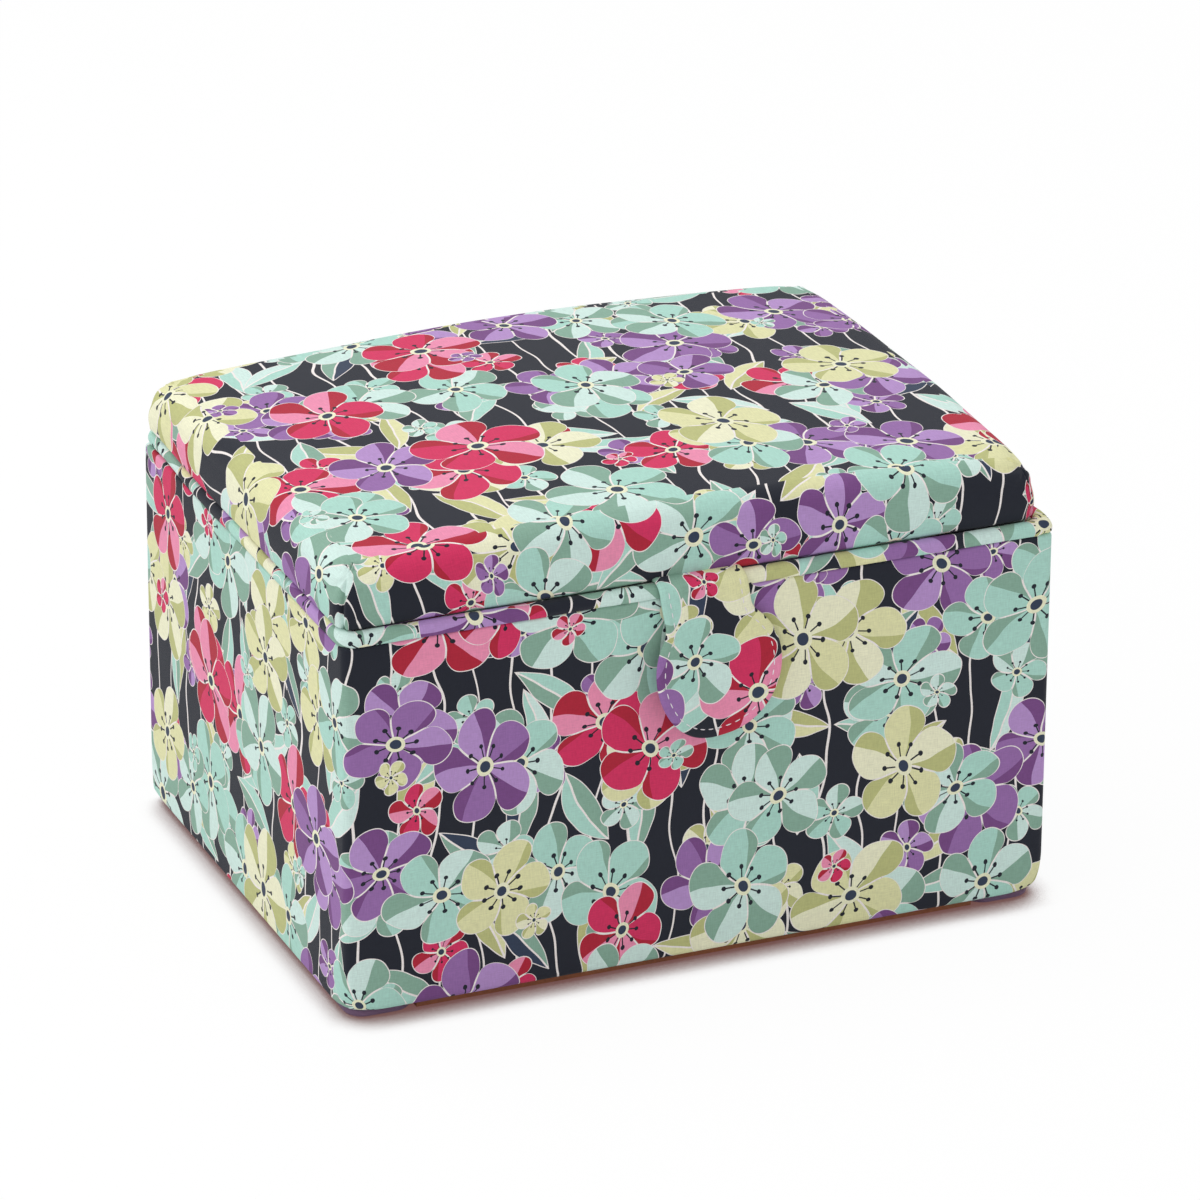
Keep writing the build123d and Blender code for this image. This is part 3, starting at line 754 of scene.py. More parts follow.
# %% Form of the padded lid
DIAGONAL_ROOM = 1e-4
EDGE_SINK = 0.0016
SINK_START = 0.10
SINK_REACH = 0.05
LID_EDGE = 0.0095
LID_CORNER = 0.0070
LID_OVERHANG = 0.004
OVERHANG_RADIUS = 0.0025
LID_SHIFT = -0.0031
LID_SIDE_SWELL = 0.0008
LID_TURN_UNDER = 0.0092
LID_FOLD = 0.0015
LID_FOLD_STEPS = 4
BOARD_ROOM = 0.00015
LID_UNEVEN = 0.0006
LID_UNEVEN_SIZE = 0.05
LID_UNEVEN_SEED = 5.0
SIDE_UNEVEN_SHARE = 0.4
DART_LENGTH = 0.024
DART_DEPTH = 0.0020
DART_WIDTH = 0.0009
DART_FADE = 0.005
DART_LAP = 0.0006
DART_LAP_REACH = 0.004
PUCKER_DEPTH = 0.0005
PUCKER_REACH = 0.0075
PUCKERS = 7
LID_SIDES = (72, 52)
LID_CORNERS = 28
LID_UNDER_ROWS = 6
LID_UNDER_TILT = math.radians(72)
LID_SIDE_ROWS = 16
LID_EDGE_ROWS = 18
LID_CORNER_FALL = 0.0098
LID_TUCK = 0.0045
LID_TUCK_REACH = 0.030
LID_DIP = 0.0014
LID_DIP_PLACE = (-0.11, 0.10)
LID_DIP_REACH = 0.13


def edge_sink(y):
    """How far the lid's soft edge has settled on the rim: nothing by the hinges, most at the front."""
    return EDGE_SINK * ease_in((SINK_START - y) / SINK_REACH)


def lid_dome(high):
    """The height of the lid's top over a place in plan: a shallow dome that falls towards the corners."""
    fall = LID_CORNER_FALL / (high.x**2 + high.y**2)

    def dome(x, y):
        dip = LID_DIP * ease_in(1 - math.dist((x, y), LID_DIP_PLACE) / LID_DIP_REACH)
        return high.z - fall * (x * x + y * y) - dip

    return dome


def dart_distance(along, normals):
    """For each point of a ring, the signed distance along it to the nearest corner dart."""
    total = along[-1]
    darts = [a for a, (x, y) in zip(along, normals) if abs(abs(x) - abs(y)) < DIAGONAL_ROOM]
    return [min(((a - d + total / 2) % total - total / 2 for d in darts), key=abs) for a in along[:-1]]


def lid_ease(place, dart, climb, rise, turn):
    """How far the cloth stands off the plain form: swell, the corner dart with its puckers, unevenness."""
    swell = LID_SIDE_SWELL * math.sin(math.pi * rise)
    share = SIDE_UNEVEN_SHARE + (1 - SIDE_UNEVEN_SHARE) * math.sin(turn)
    uneven = LID_UNEVEN * soft_noise(*place, LID_UNEVEN_SIZE, LID_UNEVEN_SEED) * share
    sewn = ease_in((DART_LENGTH - climb) / DART_FADE)
    groove = -DART_DEPTH * sewn * math.exp(-((dart / DART_WIDTH) ** 2))
    lap = DART_LAP * sewn * math.exp(-dart / DART_LAP_REACH) if dart > 0 else 0.0
    reach = math.hypot(dart, climb - DART_LENGTH)
    fan = math.cos(PUCKERS * math.atan2(climb - DART_LENGTH, dart))
    pucker = PUCKER_DEPTH * fan * (reach / PUCKER_REACH) * math.exp(1 - (reach / PUCKER_REACH) ** 2)
    return swell + uneven + groove + lap + pucker


def lid_section():
    """Steps up the lid's side: inset, height on the lower curve, rise up the side, tilt of the cloth."""
    steps = []
    for k in range(LID_UNDER_ROWS + 1):
        tilt = -LID_UNDER_TILT * (1 - k / LID_UNDER_ROWS)
        curve = OVERHANG_RADIUS * (1 + math.sin(tilt))
        steps.append((OVERHANG_RADIUS * (1 - math.cos(tilt)), curve, 0.0, tilt))
    for k in range(1, LID_SIDE_ROWS + 1):
        steps.append((0.0, OVERHANG_RADIUS, k / LID_SIDE_ROWS, 0.0))
    for k in range(1, LID_EDGE_ROWS + 1):
        tilt = math.pi / 2 * k / LID_EDGE_ROWS
        steps.append((LID_EDGE * (1 - math.cos(tilt)), OVERHANG_RADIUS, 1.0, tilt))
    return steps


def lid_corner_tuck(place, high):
    """How far the padding gives way at an upper corner of the lid, where the cloth is drawn tightest."""
    gaps = high.x - abs(place.x - LID_SHIFT) + high.y - abs(place.y) + high.z - LID_CORNER_FALL - place.z
    share = min(max(0.0, 1 - gaps / LID_TUCK_REACH), 1.0)
    inward = Vector((math.copysign(1, -place.x), math.copysign(1, -place.y), -1)).normalized()
    return inward * LID_TUCK * share**2


print("lid side steps:", len(lid_section()))

# %% [markdown]
# The pad is then built as rings: from the hollow for the board, round the turned-under hem and up the side.
# A grid closes the top and is joined to the last ring point by point. Laying the rings flat from the edge of
# the top outwards gives each point its place on the cloth, so the print runs over the edge unbroken, as it
# does on a cover cut from one piece.

# %% Padded lid
LID_WELD = 2e-5
LID_SEAM = 0.0012
NORMAL_STEP = 0.001


def lid_rows(low, high, board_low, board_high, piping_top):
    """Rings from the hollow for the board, round the turn-under and side, up to where the top begins."""
    dome = lid_dome(high)
    board_gap = high.x - board_high.x - BOARD_ROOM
    foot_gap = LID_OVERHANG + LID_FOLD

    def ring(inset):
        corner = LID_CORNER * (1 - inset / LID_EDGE)
        return rounded_ring(high.x - inset, high.y - inset, corner, LID_SIDES, LID_CORNERS)

    outer = ring(0.0)
    step_in = (high.x - NORMAL_STEP, high.y - NORMAL_STEP, LID_CORNER - NORMAL_STEP)
    inner = rounded_ring(*step_in, LID_SIDES, LID_CORNERS)
    normals = [(Vector(a) - Vector(b)).normalized() for a, b in zip(outer, inner)]
    darts = dart_distance(running_length(outer), normals)
    foot = [
        (LID_EDGE, board_high.z + BOARD_ROOM),
        (board_gap, board_high.z + BOARD_ROOM),
        (board_gap, board_low.z - BOARD_ROOM),
        (LID_TURN_UNDER, board_low.z - BOARD_ROOM),
        (LID_TURN_UNDER, low.z),
    ]
    foot += bend((foot_gap, low.z + LID_FOLD), LID_FOLD, 270, 180, LID_FOLD_STEPS)
    rows = [[Vector((x, y, z)) for x, y in ring(inset)] for inset, z in foot]
    for inset, curve, rise, tilt in lid_section():
        row = []
        for (x, y), normal, dart in zip(ring(inset), normals, darts):
            side_low = piping_top - edge_sink(y) + curve
            side_high = dome(x, y) - LID_EDGE
            height = side_low + rise * (side_high - side_low) + LID_EDGE * max(0.0, math.sin(tilt))
            place = Vector((x + LID_SHIFT, y, height))
            climb = curve + rise * (side_high - side_low) + LID_EDGE * max(0.0, tilt)
            outward = Vector((*(normal * math.cos(tilt)), math.sin(tilt)))
            row.append(place + outward * lid_ease(place, dart, climb, rise, max(tilt, 0.0)))
        rows.append(row)
    return rows, dome


def flat_map(rows):
    """Places on flat cloth: out from the edge of the top by the distance down the side."""
    edge = rows[-1]
    down = [0.0] * len(edge)
    maps = [[(place.x, place.y) for place in edge]]
    for upper, row in zip(rows[::-1], rows[-2::-1]):
        down = [far + (a - b).length for far, a, b in zip(down, upper, row)]
        outward = [(place - top).to_2d().normalized() * far for place, top, far in zip(row, edge, down)]
        maps.append([(top.x + away.x, top.y + away.y) for top, away in zip(edge, outward)])
    return [row + row[:1] for row in maps[::-1]]


def middle_grid(half, shift, height):
    """A grid of points over the rectangle inside the rings, and its places on flat cloth."""
    xs, ys = ([side * (2 * k / steps - 1) for k in range(steps + 1)] for side, steps in zip(half, LID_SIDES))
    places = [[(x, y) for x in xs] for y in ys]
    return [[Vector((x + shift, y, height(x, y))) for x, y in row] for row in places], places


def padded_lid():
    low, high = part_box("lid_cover")
    board_low, board_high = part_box("lid_board")
    rows, dome = lid_rows(low, high, board_low, board_high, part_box("lid_piping")[1].z)
    half = (high.x - LID_EDGE, high.y - LID_EDGE)

    def top_height(x, y):
        place = Vector((x + LID_SHIFT, y, dome(x, y)))
        return place.z + lid_ease(place, 1.0, 1.0, 0.0, math.pi / 2)

    bm, uv = cloth_bmesh()
    grid_faces(bm, uv, rows, flat_map(rows), close_columns=True)
    grid_faces(bm, uv, *middle_grid(half, LID_SHIFT, top_height))
    grid_faces(bm, uv, *middle_grid(half, 0.0, lambda x, y: board_high.z + BOARD_ROOM))
    seams = [vert for vert in bm.verts if vert.is_boundary]
    bmesh.ops.remove_doubles(bm, verts=seams, dist=LID_SEAM)
    lid = add_piece("padded_lid", finish_mesh("padded_lid", bm, LID_WELD), PRINTED, "lid")
    for vert in lid.data.vertices:
        vert.co += lid_corner_tuck(vert.co, high)
    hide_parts("lid_cover", "lid_pad")
    return lid


print("padded lid:", len(padded_lid().data.polygons), "faces")

# %% [markdown]
# A covered cord is sewn into the seam under the lid. A curve with a round bevel would do for a bare cord, but
# this one has a flat sewing tape behind its bead, so the section of both is carried round like the walls. A
# bead that is stuffed by hand is a little uneven, and its ends meet at the front right corner, where the
# cover is pinched. It settles on the rim along the front and the sides, and over the hinge leaves it is
# pressed flatter.

# %% Piping
BEAD_RADIUS = 0.0035
PIPING_CORNER = 0.0075
TAPE_WIDTH = 0.0075
TAPE_THICKNESS = 0.0005
PIPING_UNEVEN = 0.00028
PIPING_UNEVEN_LAYERS = ((0.02, 1.0, 1.0), (0.004, 2.0, 0.4))
PIPING_JOIN = 0.0013
PIPING_JOIN_WIDTH = 0.0014
PIPING_END = 0.0012
PIPING_END_RISE = 0.0022
PIPING_END_LENGTH = 0.006
BEAD_DEPTH = 0.0072
JOIN_REACH = 0.008
JOIN_INSET = 0.004
LEAF_ROOM = 0.001
BEAD_BULGE = 0.0010
BEAD_BULGE_REACH = 0.012
BEAD_REST = 0.0002
BEAD_STEPS = 22
PIPING_SIDES = (150, 110)
PIPING_CORNER_STEPS = 12
SEAM_ROOM = 0.00005
LEAF_PRESS = 0.0002


def piping_section(high, seam):
    """The bead's circle, open where the tape leaves it, then the tape below the lid."""
    middle = (BEAD_RADIUS, high.z - BEAD_RADIUS)
    lower = math.degrees(math.asin((seam - TAPE_THICKNESS - middle[1]) / BEAD_RADIUS))
    upper = math.degrees(math.asin((seam - middle[1]) / BEAD_RADIUS))
    bead = bend(middle, BEAD_RADIUS, upper, 360 + lower, BEAD_STEPS)
    tape_end = 2 * BEAD_RADIUS + TAPE_WIDTH
    return bead + [(tape_end, seam - TAPE_THICKNESS), (tape_end, seam)]


def bead_end(place, high):
    """How near a place is to the bead's overlapping end, just past the front right corner: from 0 to 1."""
    past = (place.y + high.y - JOIN_INSET - PIPING_END_LENGTH) / PIPING_END_LENGTH
    return math.exp(-(past**2)) if place.x > high.x - BEAD_DEPTH else 0.0


def piping_ease(high):
    """How far the bead stands off an even cord: unevenness, and a pinch and a swell where its ends meet."""
    join = Vector((high.x - JOIN_INSET, -high.y + JOIN_INSET, high.z - BEAD_RADIUS))

    def ease(place):
        if abs(place.x) < high.x - BEAD_DEPTH and abs(place.y) < high.y - BEAD_DEPTH:
            return 0.0
        across = (place - join).dot(Vector((1, 1, 0)).normalized())
        near = (place - join).length < JOIN_REACH
        pinch = -PIPING_JOIN * math.exp(-((across / PIPING_JOIN_WIDTH) ** 2)) if near else 0.0
        swell = PIPING_END * bead_end(place, high)
        return PIPING_UNEVEN * uneven_cloth(place, PIPING_UNEVEN_LAYERS) + pinch + swell

    return ease


def settle_bead(mesh, high, rim):
    """Lets the bead down away from the hinges, bulging over the rim and pressed flat where it rests on it."""
    for vert in mesh.vertices:
        sink = edge_sink(vert.co.y)
        rise = PIPING_END_RISE * bead_end(vert.co, high)
        bulge = BEAD_BULGE * sink / EDGE_SINK
        side = ease_in((abs(vert.co.x) - rim.x) / BEAD_BULGE_REACH + 1)
        front = ease_in((-vert.co.y - rim.y) / BEAD_BULGE_REACH + 1)
        vert.co += Vector((math.copysign(bulge * side, vert.co.x), -bulge * front, rise - sink))
        inset = min(rim.x - abs(vert.co.x), rim.y - abs(vert.co.y))
        if inset > 0:
            turned = max(RIM_ROLL - inset, 0.0)
            rest = rim.z - RIM_ROLL + math.sqrt(RIM_ROLL**2 - turned**2) + BEAD_REST
            vert.co.z = max(vert.co.z, rest)


def lid_piping():
    low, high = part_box("lid_piping")
    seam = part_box("lid_cover")[0].z - SEAM_ROOM
    section = piping_section(high, seam)
    plan = (high.x, high.y), PIPING_CORNER, section, PIPING_SIDES, PIPING_CORNER_STEPS
    piping = carry_round("piping", *plan, PRINTED, "lid", piping_ease(high))
    settle_bead(piping.data, high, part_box("body_cover")[1])
    for node in ("lid_hinge_leaf_left", "lid_hinge_leaf_right"):
        leaf_low, leaf_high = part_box(node)
        for vert in piping.data.vertices:
            over_leaf = leaf_low.x - LEAF_ROOM < vert.co.x < leaf_high.x + LEAF_ROOM
            if over_leaf and vert.co.y > leaf_low.y - LEAF_ROOM:
                vert.co.z = max(vert.co.z, seam + LEAF_PRESS)
    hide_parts("lid_piping")
    return piping


print("piping:", len(lid_piping().data.polygons), "faces")

# %% [markdown]
# The pull tab is two layers of the print sewn together in a keyhole shape. It comes out of the seam above
# the piping, bends over it and hangs down the front, a little askew and curling away at one side. Rather
# than bending a flat mesh with modifiers, one mapping from flat cloth to the hung form places both faces of
# the tab and its stitches, so the stitches follow every bend.

# %% Pull tab outline
TAB_NECK_HALF = 0.019
TAB_HEAD_RADIUS = 0.0285
TAB_HEAD_DROP = 0.0355
TAB_WAIST_RADIUS = 0.009
TAB_HALF_THICKNESS = 0.0009
TAB_EDGE = 0.0011
TAB_HEM = 0.00022
TAB_BEND_START = math.radians(55)
TAB_TURN = math.radians(9)
TAB_OFFSET = -0.0026
TAB_BEND_RADIUS = 0.0046
TAB_HANG_RADIUS = 0.0054
TAB_CURL = 0.6
TAB_LIFT = 0.0068
TAB_LIFT_REACH = 0.05
TAB_RIPPLE = 0.0006
TAB_RIPPLE_SIZE = 0.022
TAB_RIPPLE_SEED = 4.0
TAB_RIPPLE_START = 0.02
TAB_SETTLE = (math.radians(95), math.radians(85))
TAB_SEWN_LENGTH = TAB_HANG_RADIUS * (math.pi - TAB_BEND_START)
WAIST_X = TAB_NECK_HALF + TAB_WAIST_RADIUS
WAIST_DROP = TAB_HEAD_DROP - math.sqrt((TAB_HEAD_RADIUS + TAB_WAIST_RADIUS) ** 2 - WAIST_X**2)
WAIST_SLOPE = (TAB_HEAD_DROP - WAIST_DROP) / WAIST_X
HEAD_SHARE = TAB_HEAD_RADIUS / (TAB_HEAD_RADIUS + TAB_WAIST_RADIUS)
HEAD_START = TAB_HEAD_DROP - HEAD_SHARE * (TAB_HEAD_DROP - WAIST_DROP)


def tab_half_width(drop, inset=0.0):
    """Half the tab's width at a distance below the piping, for the outline moved in by inset."""
    if drop < WAIST_DROP:
        return TAB_NECK_HALF - inset
    if drop < HEAD_START:
        radius = TAB_WAIST_RADIUS + inset
        return WAIST_X - math.sqrt(max(0.0, radius**2 - (drop - WAIST_DROP) ** 2))
    return math.sqrt(max(0.0, (TAB_HEAD_RADIUS - inset) ** 2 - (drop - TAB_HEAD_DROP) ** 2))


def tab_edge_distance(x, drop):
    """How far inside the tab's outline a place on the flat cloth is."""
    x = abs(x)
    if drop < WAIST_DROP:
        return TAB_NECK_HALF - x
    if drop < WAIST_DROP + (WAIST_X - x) * WAIST_SLOPE:
        return math.hypot(WAIST_X - x, drop - WAIST_DROP) - TAB_WAIST_RADIUS
    return TAB_HEAD_RADIUS - math.hypot(x, drop - TAB_HEAD_DROP)


def bead_middle():
    """The middle of the piping's bead at the front of the lid."""
    low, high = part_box("lid_piping")
    return Vector((0, low.y + BEAD_RADIUS - BEAD_BULGE, high.z - BEAD_RADIUS - EDGE_SINK))


TAB_AXIS = bead_middle()


def tab_turned(x, drop):
    """The tab hangs a little askew: it leaves the seam square and turns to one side over the piping."""
    share = min(max(drop / TAB_SEWN_LENGTH + 1, 0.0), 1.0)
    turn = TAB_TURN * ease_in(share)
    bent = TAB_SEWN_LENGTH * TAB_TURN * (share**3 - share**4 / 2)
    aside = TAB_OFFSET + bent + max(drop, 0.0) * math.sin(TAB_TURN)
    down = min(drop, 0.0) + max(drop, 0.0) * math.cos(TAB_TURN)
    return aside + x * math.cos(turn), down - x * math.sin(turn)


def tab_place(x, drop, off=0.0):
    """Where a place on the flat tab is when hung, raised by off from the middle of its thickness."""
    left = -x
    x, drop = tab_turned(x, drop)
    if drop < 0:
        angle = math.pi + drop / TAB_HANG_RADIUS
        settle = ease_in((angle - TAB_SETTLE[0]) / TAB_SETTLE[1])
        radius = TAB_BEND_RADIUS + (TAB_HANG_RADIUS - TAB_BEND_RADIUS) * settle + off
        return TAB_AXIS + Vector((x, radius * math.cos(angle), radius * math.sin(angle)))
    lift = TAB_LIFT * ease_in(left / TAB_HEAD_RADIUS) * ease_in(drop / TAB_LIFT_REACH)
    ripple = TAB_RIPPLE * soft_noise(x, drop, 0, TAB_RIPPLE_SIZE, TAB_RIPPLE_SEED)
    ripple *= ease_in(drop / TAB_RIPPLE_START)
    outward = TAB_HANG_RADIUS + drop * drop / (2 * TAB_CURL) + lift + ripple + off
    return TAB_AXIS + Vector((x, -outward, -drop))


print("tab sewn length", round(TAB_SEWN_LENGTH, 4), "waist at", round(WAIST_DROP, 4))

# %% [markdown]
# Sewing shows in the thickness: the tab is fuller over its turned-in hem and drawn in along the stitches.
# Each stitch is a short rounded length of thread in that groove, which catches the light as a painted dash
# would not.

# %% Pull tab stitches
STITCH_INSET = 0.0036
STITCH_PITCH = 0.0042
STITCH_LENGTH = 0.0029
STITCH_RADIUS = 0.00024
STITCH_GROOVE = 0.00022
STITCH_GROOVE_WIDTH = 0.0006
STITCH_START = -0.004
STITCH_DIP = 0.00035
STITCH_PROUD = 0.00012
STITCH_RINGS = 7
STITCH_SIDES = 8
STITCH_LINE_STEPS = 240
STITCH_WELD = 1e-7
LOOK_AHEAD = 0.0002
HEM_INSET = 0.0019
HEM_WIDTH = 0.0011
LOOK_OUT = 0.001
STITCH_TIP = 0.25
STITCH_TAPER = 0.95


def tab_thickness(x, drop):
    """Half the thickness: rounded at the edge, fuller over the turned-in hem, drawn in at the stitches."""
    inside = max(min(tab_edge_distance(x, drop), drop + TAB_SEWN_LENGTH), 0.0)
    near = min(inside / TAB_EDGE, 1.0)
    round_edge = math.sqrt(max(0.0, 1 - (1 - near) ** 2))
    hem = TAB_HEM * math.exp(-(((inside - HEM_INSET) / HEM_WIDTH) ** 2))
    groove = STITCH_GROOVE * math.exp(-(((inside - STITCH_INSET) / STITCH_GROOVE_WIDTH) ** 2))
    return TAB_HALF_THICKNESS * round_edge + (hem - groove) * round_edge


def stitch_line():
    """Points down one side of the tab and up the other, an even distance inside its outline."""
    bottom = TAB_HEAD_DROP + TAB_HEAD_RADIUS - STITCH_INSET
    shares = [math.sin(math.pi / 2 * k / STITCH_LINE_STEPS) for k in range(STITCH_LINE_STEPS + 1)]
    drops = [STITCH_START + (bottom - STITCH_START) * share for share in shares]
    left = [(-tab_half_width(drop, STITCH_INSET), drop) for drop in drops]
    return left + [(-x, drop) for x, drop in left[-2::-1]]


def along_line(line, distance):
    """The place on a line of points at a distance from its start."""
    for a, b in zip(line, line[1:]):
        step = math.dist(a, b)
        if distance <= step:
            return tuple(p + (q - p) * distance / step for p, q in zip(a, b))
        distance -= step
    return line[-1]


def stitch_ring(line, start, share):
    """Points round a stitch at a share of its length: thin and deep at its ends, full and proud between."""
    x, drop = along_line(line, start + STITCH_LENGTH * share)
    proud = STITCH_PROUD - STITCH_DIP * (2 * share - 1) ** 4
    middle = tab_place(x, drop, tab_thickness(x, drop) + proud)
    next_x, next_drop = along_line(line, start + STITCH_LENGTH * share + LOOK_AHEAD)
    ahead = tab_place(next_x, next_drop, TAB_HALF_THICKNESS)
    direction = (ahead - tab_place(x, drop, TAB_HALF_THICKNESS)).normalized()
    outward = (tab_place(x, drop, LOOK_OUT) - tab_place(x, drop)).normalized()
    sideways = direction.cross(outward).normalized()
    radius = STITCH_RADIUS * max(STITCH_TIP, math.sqrt(1 - (2 * share - 1) ** 2 * STITCH_TAPER))
    angles = [math.tau * j / STITCH_SIDES for j in range(STITCH_SIDES)]
    return [middle + radius * (sideways * math.cos(a) + outward * math.sin(a)) for a in angles]


def stitch_mesh(line):
    """Short rounded lengths of thread lying in the groove on the tab's face."""
    bm = bmesh.new()
    total = sum(math.dist(a, b) for a, b in zip(line, line[1:]))
    shares = [k / (STITCH_RINGS - 1) for k in range(STITCH_RINGS)]
    for number in range(int(total / STITCH_PITCH)):
        start = (number + 0.5) * STITCH_PITCH - STITCH_LENGTH / 2
        verts = [[bm.verts.new(p) for p in stitch_ring(line, start, share)] for share in shares]
        for upper, lower in zip(verts, verts[1:]):
            for j in range(STITCH_SIDES):
                after = (j + 1) % STITCH_SIDES
                bm.faces.new((upper[j], upper[after], lower[after], lower[j]))
        bm.faces.new(verts[0])
        bm.faces.new(verts[-1])
    return finish_mesh("tab_stitches", bm, STITCH_WELD)


def thread_material():
    material, n = new_material("stitch_thread")
    place = n.node("TexCoord", out=3)
    cotton_surface(material, n, place, ink(230, 224, 228), roughness=0.7, sheen=0.1)
    return material


print("stitching on the tab:", len(stitch_line()), "points")

# %% [markdown]
# The cloth of the tab is one grid of points laid twice, for the front and the back, which meet at the outline
# where the thickness runs out.

# %% Pull tab cloth
# Rows of points over the piping, down the neck and round the head
TAB_ROWS = (16, 26, 34)
TAB_COLUMNS = 44
TAB_CUT = (0.41, 0.23)


def tab_rows():
    """How far below the piping each row of points is, closest together at the round end."""
    wrap, neck, head = TAB_ROWS
    rows = [-TAB_SEWN_LENGTH * (1 - k / wrap) for k in range(wrap)]
    rows += [TAB_HEAD_DROP * k / neck for k in range(neck)]
    turns = [math.sin(math.pi / 2 * k / head) for k in range(head + 1)]
    return rows + [TAB_HEAD_DROP + TAB_HEAD_RADIUS * turn for turn in turns]


def pull_tab():
    rows = tab_rows()
    shares = [math.sin(math.pi / 2 * (2 * j / TAB_COLUMNS - 1)) for j in range(TAB_COLUMNS + 1)]
    bm, uv = cloth_bmesh()
    flat = [[(share * tab_half_width(drop), drop) for share in shares] for drop in rows]
    maps = [[(TAB_CUT[0] + x, TAB_CUT[1] - drop) for x, drop in row] for row in flat]
    for face in (1, -1):
        points = [[tab_place(x, drop, face * tab_thickness(x, drop)) for x, drop in row] for row in flat]
        grid_faces(bm, uv, points, maps)
    tab = add_piece("tab_cloth", finish_mesh("tab_cloth", bm), PRINTED, None)
    stitches = add_piece("tab_stitches", stitch_mesh(stitch_line()), thread_material(), None)
    for piece in (tab, stitches):
        tab_place(0, -TAB_HANG_RADIUS * math.pi / 2)
        tab_place(0, 0)
        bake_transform(piece)
    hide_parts("tab_root", "pull_tab")
    cut = sum((tab_half_width(a) + tab_half_width(b)) * (b - a) for a, b in zip(rows, rows[1:]))
    return tab, stitches


print("tab faces:", [len(piece.data.polygons) for piece in pull_tab()])

# %% [markdown]
# The lining boards, rails, lid lining and corner pads are card wrapped in cloth over a thin wadding. Each one
# starts as its flat outline given a thickness. Its edges are then rounded and its face puffed up a little,
# most away from the edge, which is how wrapped boards look where two of them meet.

# %% Cloth-wrapped boards
BOARD_EDGE = 0.0008
BOARD_GRID = 0.008
PUFF_REACH = 0.006
FINE_WELD = 1e-7


def outline_distance(place, outline):
    """Distance from a point to the nearest side of a closed outline."""
    nearest = 1.0
    for a, b in zip(outline, outline[1:] + outline[:1]):
        a, b = Vector(a), Vector(b)
        side = b - a
        share = min(max((place - a).dot(side) / side.length_squared, 0.0), 1.0)
        nearest = min(nearest, (place - a - side * share).length)
    return nearest


def cut_across(bm, axis, level):
    """Cuts all faces of a bmesh where they cross a level along one axis."""
    at, normal = Vector(), Vector()
    at[axis], normal[axis] = level, 1
    everything = bm.verts[:] + bm.edges[:] + bm.faces[:]
    bmesh.ops.bisect_plane(bm, geom=everything, plane_co=at, plane_no=normal)


def wrap_board(bm, uv, outline, thickness, edge, puff, world):
    """Adds one wrapped board to a bmesh, face up in its own plane and placed by world."""
    own = bmesh.new()
    face = own.faces.new([own.verts.new((x, y, 0)) for x, y in outline])
    raised = bmesh.ops.extrude_face_region(own, geom=[face])["geom"]
    raised = [part for part in raised if isinstance(part, bmesh.types.BMVert)]
    bmesh.ops.translate(own, verts=raised, vec=(0, 0, thickness))
    rims = [e for e in own.edges if abs(e.verts[0].co.z - e.verts[1].co.z) < 1e-9]
    bmesh.ops.bevel(own, geom=rims, offset=edge, segments=3, profile=0.5, affect="EDGES")
    for axis in (0, 1):
        values = [p[axis] for p in outline]
        length = max(values) - min(values)
        steps = max(2, round(length / BOARD_GRID))
        for k in range(1, steps):
            cut_across(own, axis, min(values) + length * k / steps)
    for vert in own.verts:
        if vert.co.z > thickness - edge / 4:
            inside = outline_distance(vert.co.to_2d(), outline)
            vert.co.z += puff * (1 - math.exp(-max(inside - edge, 0.0) / PUFF_REACH))
    made = {vert: bm.verts.new(world @ vert.co) for vert in own.verts}
    for face in own.faces:
        copy = bm.faces.new([made[vert] for vert in face.verts])
        for loop, vert in zip(copy.loops, face.verts):
            loop[uv].uv = (vert.co.x + vert.co.z, vert.co.y + vert.co.z)
    own.free()


def facing_matrix(low, high, facing):
    """A board's own plane put on a box's far side so that the board faces the given axis direction."""
    thick = next(axis for axis in range(3) if facing[axis])
    across = [axis for axis in range(3) if axis != thick]
    origin = Vector(low)
    origin[thick] = low[thick] if facing[thick] > 0 else high[thick]
    basis = Matrix.Identity(4)
    for column, axis in enumerate(across):
        basis.col[column] = [float(row == axis) for row in range(4)]
    basis.col[2] = (*facing, 0)
    basis.col[3] = (*origin, 1)
    size = [high[axis] - low[axis] for axis in across]
    return basis, size, high[thick] - low[thick]


print("boards are cut into squares of about", BOARD_GRID)

# %% [markdown]
# Inside, the box is lined in plain mauve cotton: boards against the four walls and on the base, and two pairs
# of narrow rails that carry the trays. Plain cotton has no print to give it life, so its threads vary, as a
# slub yarn does. Each board keeps a little room to its neighbours and turns its face to the inside.

# %% Linings and rails
SLUB_SCALE = (90.0, 700.0, 1.0)


def plain_cotton(name, colour, deep):
    """Cotton dyed in one colour, with the slightly deeper threads that run along the weave."""
    material, n = new_material(name)
    cloth = n.node("UVMap", uv_map="cloth")
    drawn = n.vector("MULTIPLY", cloth, SLUB_SCALE)
    slub = n.node("TexNoise", {"Vector": drawn, "Scale": 1.0, "Detail": 2.0})
    cotton_surface(material, n, cloth, n.mix(slub, deep, colour), roughness=0.85, sheen=0.08)
    return material


LINING = plain_cotton("lining_cotton", ink(178, 148, 188), ink(152, 120, 164))
LINING_FACINGS = {
    "front_lining": (0, 1, 0),
    "back_lining": (0, -1, 0),
    "left_lining": (1, 0, 0),
    "right_lining": (-1, 0, 0),
    "base_lining": (0, 0, 1),
    "upper_rail_front": (0, 1, 0),
    "upper_rail_back": (0, -1, 0),
    "lower_rail_front": (0, 1, 0),
    "lower_rail_back": (0, -1, 0),
}
LINING_PUFF = 0.0004
LINING_ROOM = 0.00015


